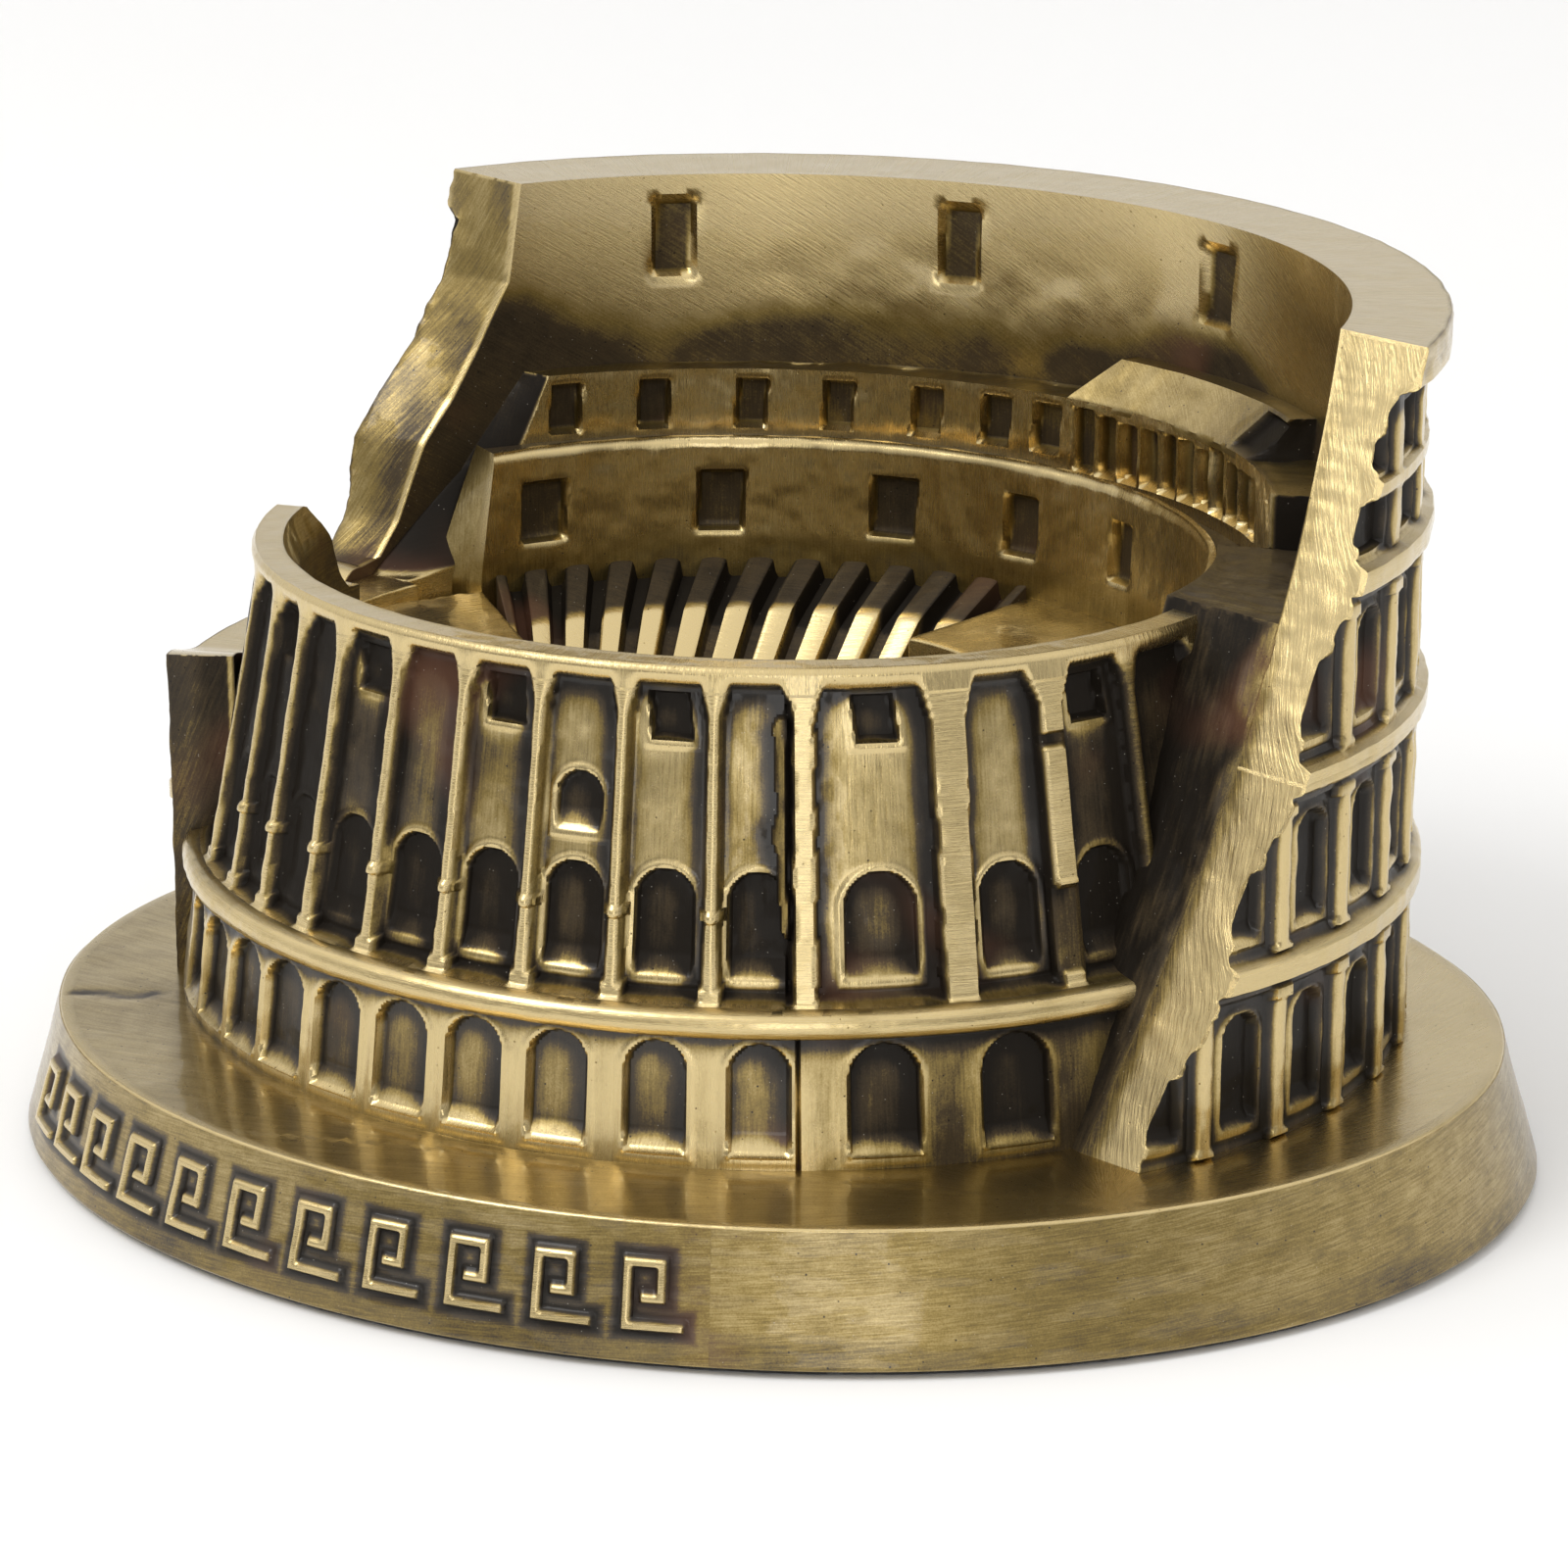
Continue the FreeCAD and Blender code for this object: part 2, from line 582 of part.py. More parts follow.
def outer_landing(neighbours):
    """The landing between the low wall's left end and the tall wall's stub, with its lower toe."""
    high = oval_prism(TALL_INNER, DECK, OUTER_LANDING_TOP)
    high = high.common(sector(RING_INNER, OUTER_LANDING_ARC, DECK - CLEAR, OUTER_LANDING_TOP))
    toe = oval_prism(TALL_INNER, DECK, OUTER_LANDING_FOOT_TOP)
    toe = toe.common(sector(RING_INNER, OUTER_LANDING_FOOT_ARC, DECK - CLEAR, OUTER_LANDING_FOOT_TOP))
    inside = oval_prism(LOW_INNER, DECK - CLEAR, OUTER_LANDING_TOP + CLEAR)
    landing = high.fuse(toe).cut([inside] + neighbours)
    return max(landing.Solids, key=lambda solid: solid.Volume)


def arena_floor():
    floor = oval_prism(ARENA, DECK, ARENA_LEVEL)
    return floor.cut(oval_prism(grown(ARENA, -CORE_WALL), DECK - CLEAR, ARENA_LEVEL - CORE_WALL))


def build():
    os.makedirs("parts", exist_ok=True)
    tall = tall_outer_wall()
    low = low_front_wall(tall)
    inner_ring = ring_wall(low)
    gallery = gallery_wall()
    ramp = ramp_left([low, inner_ring, gallery, tall])
    fill = solder_fill([low, inner_ring, gallery, tall])
    outer = outer_landing([low, tall, ramp])
    shapes = {
        "felt_pad": felt_pad(),
        "plinth": plinth(),
        "tall_outer_wall": tall,
        "low_front_wall": low,
        "inner_ring_wall": inner_ring,
        "upper_gallery_wall": gallery,
        "terrace_block": terrace_block(),
        "right_end_solder_fill": fill,
        "left_end_ramp": ramp,
        "seating_bank_back": seating_bank(BACK_BANK_ARC, RING_INNER),
        "seating_bank_front": seating_bank(FRONT_BANK_ARC, LOW_INNER).cut(low),
        "right_terrace": terrace(RIGHT_TERRACE_ARC, RIGHT_TERRACE_TOP, RING_INNER).cut(low),
        "left_landing": terrace(LEFT_LANDING_ARC, LEFT_LANDING_TOP, LOW_INNER).cut([low, ramp]),
        "left_outer_landing": outer,
        "arena_floor": arena_floor(),
    }
    for name, shape in shapes.items():
        shape.exportStep("parts/" + name + ".step")
        print(name, len(shape.Solids), round(shape.Volume / 1000, 2), "cm3", shape.isValid())


build()
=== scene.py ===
import json
import math

import bmesh
import bpy
import numpy as np
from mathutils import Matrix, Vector

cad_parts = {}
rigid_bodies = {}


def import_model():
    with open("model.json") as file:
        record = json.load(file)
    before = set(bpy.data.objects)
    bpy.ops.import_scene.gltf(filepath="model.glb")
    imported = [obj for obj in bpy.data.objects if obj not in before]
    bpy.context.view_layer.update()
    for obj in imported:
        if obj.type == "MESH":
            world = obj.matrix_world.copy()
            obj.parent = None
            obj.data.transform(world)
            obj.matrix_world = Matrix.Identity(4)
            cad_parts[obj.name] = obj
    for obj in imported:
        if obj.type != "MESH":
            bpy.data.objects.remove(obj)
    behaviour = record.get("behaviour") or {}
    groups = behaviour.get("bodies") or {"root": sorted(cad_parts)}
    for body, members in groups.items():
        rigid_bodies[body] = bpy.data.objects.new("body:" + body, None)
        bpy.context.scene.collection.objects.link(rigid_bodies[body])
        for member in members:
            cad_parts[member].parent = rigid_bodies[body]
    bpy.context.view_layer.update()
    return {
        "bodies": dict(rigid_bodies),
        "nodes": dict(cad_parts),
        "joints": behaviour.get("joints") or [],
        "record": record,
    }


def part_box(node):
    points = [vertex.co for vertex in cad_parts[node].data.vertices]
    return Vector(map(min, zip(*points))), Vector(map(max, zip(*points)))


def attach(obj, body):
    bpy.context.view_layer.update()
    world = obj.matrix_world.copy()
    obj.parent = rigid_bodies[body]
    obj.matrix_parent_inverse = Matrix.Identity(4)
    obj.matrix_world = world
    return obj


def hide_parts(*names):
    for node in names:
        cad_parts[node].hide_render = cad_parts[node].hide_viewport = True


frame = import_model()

# Lengths are in millimetres until a mesh is made, and angles in degrees. An oval is (half length in X,
# half width in Y, centre X, centre Y). Around an oval, 0 is its right end, 90 the back, 180 the left
# end and 270 the front. Depths of relief are along the wall's outward normal.
MM = 0.001
# A wall's back has one point for this many of its front's, in both directions.
THIN = 2
# The share of a wall's thickness over which its relief fades out on an end.
RELIEF_RUN_OUT = 0.06


def corner(node, which, axis):
    """A coordinate of a node's lowest corner (which = 0) or highest corner (which = 1), in millimetres."""
    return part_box(node)[which][axis] / MM


DECK = corner("plinth", 1, 2)
PLINTH_LOW = corner("plinth", 0, 2)
TALL_TOP = corner("tall_outer_wall", 1, 2)
LOW_TOP = corner("low_front_wall", 1, 2)
RING_TOP = corner("inner_ring_wall", 1, 2)
GALLERY_TOP = corner("upper_gallery_wall", 1, 2)
BLOCK_TOP = corner("terrace_block", 1, 2)
SOLDER_TOP = corner("right_end_solder_fill", 1, 2)
BOWL_TOP = corner("seating_bank_back", 1, 2)
ARENA_TOP = corner("arena_floor", 1, 2)
RIGHT_TERRACE_TOP = corner("right_terrace", 1, 2)
LEFT_LANDING_TOP = corner("left_landing", 1, 2)
OUTER_LANDING_TOP = corner("left_outer_landing", 1, 2)
PAD_TOP = corner("felt_pad", 1, 2)

PLINTH_FOOT = (corner("plinth", 1, 0), corner("plinth", 1, 1), 0.0, 0.0)
PLINTH_EDGE = (PLINTH_FOOT[0] - 2.2, PLINTH_FOOT[1] - 1.7, 0.0, 0.0)
TALL_OUTER = (36.4, 31.6, 0.0, 1.7)
TALL_INNER = (32.4, 27.6, 0.0, 1.7)
LOW_FOOT = (34.3, 28.8, -1.9, 3.0)
LOW_STRING = (33.2, 27.7, -1.9, 3.0)
LOW_SHOULDER = (32.3, 26.8, -1.9, 3.0)
LOW_RIM = (28.9, 23.4, -1.9, 3.0)
LOW_INNER = (26.9, 21.4, -1.9, 3.0)
RING_INNER = (25.9, 22.1, -1.6, 2.9)
RING_OUTER = (29.4, 24.3, -1.4, 2.7)
BOWL_KINK = (21.6, 18.1, -1.6, 2.9)
BOWL_FOOT = (16.4, 13.2, -1.6, 2.9)
ARENA = (14.4, 11.2, -1.6, 2.9)
BLOCK_FRONT_TOP = (31.2, 26.4, -0.4, 1.9)

CROWN_PROUD = 1.65
COLUMN_RADIUS = 0.55
BAY_PITCH = 5.5
FIRST_COLUMN = -30.3
PILASTERS = (202.0, 211.7, 219.7, 228.3, 237.8, 247.3, 256.7, 266.2, 276.0, 285.4, 301.2, 313.6, 325.0, 337.0)
SEAM_ANGLE = 284.6


# ---- Small tools ----
def show(name, data):
    """An object in the scene with this data."""
    made = bpy.data.objects.new(name, data)
    bpy.context.scene.collection.objects.link(made)
    return made


def triple(a, b, c):
    """Three values for each point, side by side."""
    return np.stack(np.broadcast_arrays(a, b, c), -1)


def ease(x, width):
    """A soft step from 0 to 1 as x passes 0, over a width."""
    t = np.clip(x / width + 0.5, 0, 1)
    return t * t * (3 - 2 * t)


def band(x, low, high, width):
    """1 between low and high, with soft ends."""
    return ease(x - low, width) * ease(high - x, width)


def dome(x, radius):
    """The height of a half round bar, 1 at its middle."""
    return np.sqrt(np.clip(1 - (x / radius) ** 2, 0, 1))


def hashed(i, j, k, seed):
    """A repeatable number from 0 to 1 for one cell of a grid."""
    n = (i * 374761393 + j * 668265263 + k * 2147483647 + seed * 1442695041) & 0xFFFFFFFF
    n = ((n ^ (n >> 13)) * 1274126177) & 0xFFFFFFFF
    n = ((n ^ (n >> 16)) * 2246822519) & 0xFFFFFFFF
    return ((n ^ (n >> 15)) & 0xFFFF) / 65535.0


def noise(x, y, z, seed):
    """Smooth noise from -1 to 1 that repeats every run."""
    x, y, z = np.broadcast_arrays(np.asarray(x, float), np.asarray(y, float), np.asarray(z, float))
    cell = [np.floor(v).astype(np.int64) for v in (x, y, z)]
    part = [v - c for v, c in zip((x, y, z), cell)]
    part = [p * p * (3 - 2 * p) for p in part]
    total = 0.0
    for a in (0, 1):
        for b in (0, 1):
            for c in (0, 1):
                weight = 1.0
                for p, side in zip(part, (a, b, c)):
                    weight = weight * (p if side else 1 - p)
                total = total + weight * hashed(cell[0] + a, cell[1] + b, cell[2] + c, seed)
    return total * 2 - 1


def rough(x, y, z, size, seed, layers=3):
    """Layered noise whose largest features are about this size."""
    total, share, scale = 0.0, 1.0, 1.0 / size
    for layer in range(layers):
        total = total + share * noise(x * scale, y * scale, z * scale, seed + layer)
        share *= 0.5
        scale *= 2.1
    return total


def oval_point(oval, angle):
    """X, Y and the outward normal on an oval. The oval's values may be arrays."""
    turn = np.radians(angle)
    c, s = np.cos(turn), np.sin(turn)
    nx, ny = c / oval[0], s / oval[1]
    length = np.hypot(nx, ny)
    return oval[2] + oval[0] * c, oval[3] + oval[1] * s, nx / length, ny / length


def blend_ovals(low, high, share):
    """An oval between two others. The share may be an array."""
    return tuple(a + (b - a) * share for a, b in zip(low, high))


def place_on(oval, t, z, depth):
    """Points on an upright oval wall, moved out of it by a depth of relief."""
    x, y, nx, ny = oval_point(oval, t)
    return triple(x + nx * depth, y + ny * depth, z)


ARC_TABLES = {}


def arc_length(oval, angle):
    """Millimetres along an oval from angle 0, for any angle."""
    key = tuple(round(v, 4) for v in oval[:2])
    if key not in ARC_TABLES:
        grid = np.linspace(-200, 560, 15201)
        turn = np.radians(grid)
        slope = np.hypot(oval[0] * np.sin(turn), oval[1] * np.cos(turn))
        total = np.concatenate([[0], np.cumsum((slope[1:] + slope[:-1]) / 2 * np.radians(grid[1] - grid[0]))])
        ARC_TABLES[key] = (grid, total - np.interp(0, grid, total))
    grid, total = ARC_TABLES[key]
    return np.interp(angle, grid, total)


def angles_by_arc(oval, start, end, step, multiple=1):
    """Angles at near equal steps of arc, in a count that divides by a multiple."""
    first, last = arc_length(oval, start), arc_length(oval, end)
    count = max(1, int(math.ceil((last - first) / step / multiple))) * multiple
    grid, total = ARC_TABLES[tuple(round(v, 4) for v in oval[:2])]
    return np.interp(np.linspace(first, last, count + 1), total, grid)


def levels_by(stops):
    """Levels through (level, step) stops, in a count that divides by THIN. Each stretch uses the step of
    the stop that starts it."""
    found = [stops[0][0]]
    for (low, step), (high, _) in zip(stops, stops[1:]):
        count = max(1, int(round((high - low) / step)))
        found += list(np.linspace(low, high, count + 1)[1:])
    extra = (-(len(found) - 1)) % THIN
    for _ in range(extra):
        gaps = np.diff(found)
        widest = int(np.argmax(gaps))
        found.insert(widest + 1, (found[widest] + found[widest + 1]) / 2)
    return np.array(found)


def cavity(height, reach):
    """How far each point of a relief stands above its surroundings."""
    blurred = height.copy()
    for axis in (0, 1):
        for _ in range(2):
            pad = [(0, 0), (0, 0)]
            pad[axis] = (reach, reach + 1)
            padded = np.pad(blurred, pad, mode="edge")
            total = np.cumsum(padded, axis=axis)
            size = 2 * reach + 1
            if axis == 0:
                blurred = (total[size:] - total[:-size])[: height.shape[0]] / size
            else:
                blurred = (total[:, size:] - total[:, :-size])[:, : height.shape[1]] / size
    return height - blurred


# ---- Mesh building ----
class Shell:
    """Collects points with their tone and brush coordinates, and faces between them.

    A tone is (wear and highlight, grind, dark): how polished the brass is, with painted highlights and a
    painted reflection added in places, how strongly it is scratched by a file, and how much dark patina lies
    over it, with painted shade added in places. A flow is (along the brush marks, across them, depth)."""

    def __init__(self):
        self.points, self.tones, self.flows, self.faces = [], [], [], []
        self.size = 0

    def add(self, points, tone, flow):
        shape = points.shape[:-1]
        count = int(np.prod(shape))
        tone = np.broadcast_to(tone, shape + (3,))
        flow = np.broadcast_to(flow, shape + (3,))
        self.points.append(np.reshape(points, (count, 3)))
        self.tones.append(np.reshape(tone, (count, 3)))
        self.flows.append(np.reshape(flow, (count, 3)))
        index = np.arange(self.size, self.size + count).reshape(shape)
        self.size += count
        return index

    def quads(self, index):
        square = np.stack([index[:-1, :-1], index[:-1, 1:], index[1:, 1:], index[1:, :-1]], -1)
        self.faces += square.reshape(-1, 4).tolist()

    def thin_out(self, dense, coarse):
        """Faces from a dense row of points to a row with one point for each THIN of it."""
        for k in range(len(coarse) - 1):
            run = dense[k * THIN:(k + 1) * THIN + 1].tolist()
            self.faces.append(run + [int(coarse[k + 1]), int(coarse[k])])

    def fill(self, loop):
        self.faces.append([int(i) for i in loop])

    def mesh(self, name, node, material, sharp=38.0):
        """Makes the object, closes it up, and lets it stand for a CAD node."""
        data = bpy.data.meshes.new(name)
        data.from_pydata(np.concatenate(self.points) * MM, [], self.faces)
        for label, rows in (("tone", self.tones), ("flow", self.flows)):
            layer = data.attributes.new(label, "FLOAT_VECTOR", "POINT")
            layer.data.foreach_set("vector", np.concatenate(rows).astype(np.float32).ravel())
        bm = bmesh.new()
        bm.from_mesh(data)
        bmesh.ops.remove_doubles(bm, verts=bm.verts, dist=2e-7)
        bmesh.ops.dissolve_degenerate(bm, edges=bm.edges, dist=1e-7)
        bmesh.ops.recalc_face_normals(bm, faces=bm.faces)
        bm.to_mesh(data)
        bm.free()
        data.shade_smooth()
        data.set_sharp_from_angle(angle=math.radians(sharp))
        data.materials.append(material)
        piece = show(name, data)
        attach(piece, "root")
        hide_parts(node)
        return piece


def tone_of(wear_and_highlight, grind=0.0, dark=0.0):
    wear_and_highlight, grind, dark = np.broadcast_arrays(wear_and_highlight, grind, dark)
    return np.stack([np.clip(wear_and_highlight, 0, 1), np.clip(grind, 0, 1), np.clip(dark, 0, 1)], -1)


def cast_wall(name, node_name, oval, arc, stops, step, faces, ends, slot="antique_brass", **looks):
    """One piece that is a standing wall. Its columns are at equal steps along an oval."""
    shell = Shell()
    wall(shell, angles_by_arc(oval, *arc, step, THIN), levels_by(stops), *faces, *ends, **looks)
    shell.mesh(name, node_name, BRASS)


def window_fade(count):
    """0 at both ends of a row of points and 1 between, for roughness that must not open a seam."""
    t = np.linspace(0, 1, count)
    return ease(t - 0.06, 0.12) * ease(0.94 - t, 0.12)


def end_cap(edge_out, edge_in, share, fade_through, unevenness, lean):
    """Points and flow between the front's and the back's edge at a wall's end. The relief of the front
    fades out over a short way, so that the end is even."""
    reach = min(9, len(edge_out) - 1)
    padded = np.pad(edge_out, ((reach + 1, reach), (0, 0)), mode="reflect", reflect_type="odd")
    total = np.cumsum(padded, axis=0)
    even = (total[2 * reach + 1:] - total[:-2 * reach - 1]) / (2 * reach + 1)
    share = share[None, :, None]
    cap = even[:, None] * (1 - share) + edge_in[:, None] * share
    cap = cap + (edge_out - even)[:, None] * np.exp(-share / RELIEF_RUN_OUT)
    normal = np.cross(edge_out[-1] - edge_out[0], edge_in[0] - edge_out[0])
    normal = normal / (np.linalg.norm(normal) + 1e-9)
    fade = window_fade(len(edge_out))[:, None] * fade_through
    lump = rough(cap[..., 0], cap[..., 1], cap[..., 2] * 0.7, 1.3, 31, 4)
    cap = cap + normal * (unevenness * fade * lump)[..., None]
    width = 5.0 * share[..., 0]
    height = edge_out[:, 2:]
    return cap, triple(height * 0.8 + width * 0.5, width * 0.9 - height * lean, 0)


def wall(shell, columns, rows, front, back, front_ends, back_ends, steps, cap_rough, cap_tone, top_rough=0.03,
         rim_tone=(0.9, 0.5, 0.0), crest=None, cap_lean=0.45):
    """A standing wall. front and back map angles and levels to points, tones and flows. The ends map
    levels to the lowest and highest angle. steps is the number of points through the wall's thickness.
    cap_rough and top_rough are the unevenness of its ends and rim, cap_tone and rim_tone their tones, and
    cap_lean the slant of the file marks on its ends. crest maps angles to the level of a broken rim."""
    grid_t, grid_z = np.meshgrid(columns, rows)
    if crest is not None:
        grid_z = np.minimum(grid_z, crest(grid_t))
    thin_t, thin_z = grid_t[::THIN, ::THIN], grid_z[::THIN, ::THIN]
    outer, tone, flow = front(np.clip(grid_t, *front_ends(grid_z)), grid_z)
    inner = back(np.clip(grid_t, *back_ends(grid_z)), grid_z)[0]
    outer_index = shell.add(outer, tone, flow)
    inner_index = shell.add(*back(np.clip(thin_t, *back_ends(thin_z)), thin_z))
    shell.quads(outer_index)
    shell.quads(inner_index)
    shell.thin_out(outer_index[0], inner_index[0])
    share = np.arange(1, steps) / steps
    fade_through = window_fade(steps + 1)[1:-1]
    top = outer[-1] * (1 - share[:, None, None]) + inner[-1] * share[:, None, None]
    fade = fade_through[:, None] * window_fade(len(columns))
    top[..., 2] -= top_rough * fade * (0.5 + 0.5 * rough(top[..., 0], top[..., 1], 0, 1.7, 71))
    arc = np.linspace(0, 100, len(columns))
    top_index = shell.add(top, tone_of(*rim_tone), triple(arc * 0.02, arc, 0))
    shell.quads(np.concatenate([outer_index[-1:], top_index]))
    shell.thin_out(top_index[-1], inner_index[-1])
    for side, column in enumerate((0, -1)):
        cap, flow = end_cap(outer[:, column], inner[:, column], share, fade_through, cap_rough, cap_lean)
        cap_index = shell.add(cap, cap_tone(cap, side), flow)
        whole = np.concatenate([outer_index[:, column, None], cap_index], 1)
        shell.quads(whole)
        shell.thin_out(whole[:, -1], inner_index[:, column])
        shell.quads(np.stack([whole[-1], [outer_index[-1, column], *top_index[:, column]]]))


def fine_steps(length, step, radius):
    """Positions along a length, closer together near both ends."""
    ends = [0, radius * 0.15, radius * 0.45, radius]
    count = max(2, int(round((length - 2 * radius) / step)))
    middle = np.linspace(radius, length - radius, count + 1)[1:-1]
    return np.concatenate([ends, middle, [length - v for v in ends[::-1]]])


def polar_block(shell, inner, outer, arc, low, top, tone, step, radius, brush=0.0, inner_arc=None):
    """A block between two ovals whose top is a height over its plan. Its upper edges are rounded over."""
    inner_arc = inner_arc or arc
    middle = blend_ovals(inner, outer, 0.5)
    length = arc_length(middle, arc[1]) - arc_length(middle, arc[0])
    along = fine_steps(length, step, radius)
    angle = arc[0] + (arc[1] - arc[0]) * along / length
    inner_angle = inner_arc[0] + (inner_arc[1] - inner_arc[0]) * along / length
    ix, iy, _, _ = oval_point(inner, inner_angle)
    ox, oy, _, _ = oval_point(outer, angle)
    width = float(np.mean(np.hypot(ox - ix, oy - iy)))
    across = fine_steps(width, step, radius)
    share = across[:, None] / width
    x = ix[None] * (1 - share) + ox[None] * share
    y = iy[None] * (1 - share) + oy[None] * share
    near_a = np.minimum(along, length - along)[None, :]
    near_b = np.minimum(across, width - across)[:, None]
    drop = sum(radius * (1 - dome(np.clip(1 - near / radius, 0, 1), 1)) for near in (near_a, near_b))
    grid_t = np.broadcast_to(angle, x.shape)
    grid_share = np.broadcast_to(share, x.shape)
    z = top(grid_t, grid_share, x, y) - drop
    points = triple(x, y, z)
    c, s = math.cos(math.radians(brush)), math.sin(math.radians(brush))
    flow = triple(x * c + y * s, -x * s + y * c, z)
    index = shell.add(points, tone(x, y, z, grid_t, grid_share), flow)
    shell.quads(index)
    loop = np.concatenate([index[0, :-1], index[:-1, -1], index[-1, :0:-1], index[:0:-1, 0]])
    edge_t, edge_share = grid_t.ravel()[loop - index[0, 0]], grid_share.ravel()[loop - index[0, 0]]
    flat = np.concatenate(shell.points)[loop]
    rows = [loop]
    side_rows = 5
    for k in range(1, side_rows + 1):
        part = flat.copy()
        part[:, 2] = flat[:, 2] + (low - flat[:, 2]) * k / side_rows
        around = np.cumsum(np.hypot(*np.diff(np.vstack([flat, flat[:1]])[:, :2], axis=0).T))
        side_flow = triple(part[:, 2], around, np.zeros(len(part)))
        rows.append(shell.add(part, tone(part[:, 0], part[:, 1], part[:, 2], edge_t, edge_share), side_flow))
    rows = np.array(rows)
    shell.quads(np.concatenate([rows, rows[:, :1]], 1))
    shell.fill(rows[-1])


# ---- Finish ----
def nodes_of(name):
    material = bpy.data.materials.new(name)
    material.use_nodes = True
    tree = material.node_tree
    tree.nodes.clear()
    return material, tree


def node(tree, kind, inputs=(), **settings):
    made = tree.nodes.new(kind)
    for key, value in settings.items():
        setattr(made, key, value)
    for key, value in dict(inputs).items():
        socket = made.inputs[key]
        if isinstance(value, bpy.types.NodeSocket):
            tree.links.new(value, socket)
        else:
            socket.default_value = value
    return made


def blend_colour(tree, share, a, b):
    made = node(tree, "ShaderNodeMix", data_type="RGBA")
    for key, value in ((0, share), (6, a), (7, b)):
        if isinstance(value, bpy.types.NodeSocket):
            tree.links.new(value, made.inputs[key])
        else:
            made.inputs[key].default_value = value
    return made.outputs[2]


def sums(tree, kind, a, b, c=0.5):
    return node(tree, "ShaderNodeMath", {0: a, 1: b, 2: c}, operation=kind).outputs[0]


def swing(tree, value, gain, base):
    """The base, raised or lowered as a noise value passes its middle."""
    return sums(tree, "MULTIPLY_ADD", sums(tree, "SUBTRACT", value, 0.5), gain, base)


def ranged(tree, value, low, high, to_low=0.0, to_high=1.0):
    ends = {"Value": value, "From Min": low, "From Max": high, "To Min": to_low, "To Max": to_high}
    return node(tree, "ShaderNodeMapRange", ends, interpolation_type="SMOOTHSTEP").outputs[0]


def scaled(tree, vector, scale):
    return node(tree, "ShaderNodeMapping", {"Vector": vector, "Scale": scale}).outputs[0]


def bumps(tree, strength, distance, height):
    values = {"Strength": strength, "Distance": distance, "Height": height}
    return node(tree, "ShaderNodeBump", values).outputs[0]


def finish(tree, values):
    shader = node(tree, "ShaderNodeBsdfPrincipled", values).outputs[0]
    node(tree, "ShaderNodeOutputMaterial", {"Surface": shader})


def cloud(tree, place, scale, detail=3.0, roughness=0.55):
    """Layered noise around 0.5."""
    values = {"Vector": place, "Scale": scale, "Detail": detail, "Roughness": roughness}
    return node(tree, "ShaderNodeTexNoise", values).outputs[0]


BRASS_LIGHT = (0.62, 0.485, 0.235, 1.0)
BRASS_DEEP = (0.29, 0.21, 0.07, 1.0)
PATINA = (0.065, 0.046, 0.024, 1.0)
# Darkest colour: black patina in deep hollows, and painted shade where the tone is darkest.
BLACK_PATINA_AND_SHADE = (0.012, 0.009, 0.006, 1.0)
COPPER = (0.23, 0.095, 0.05, 1.0)


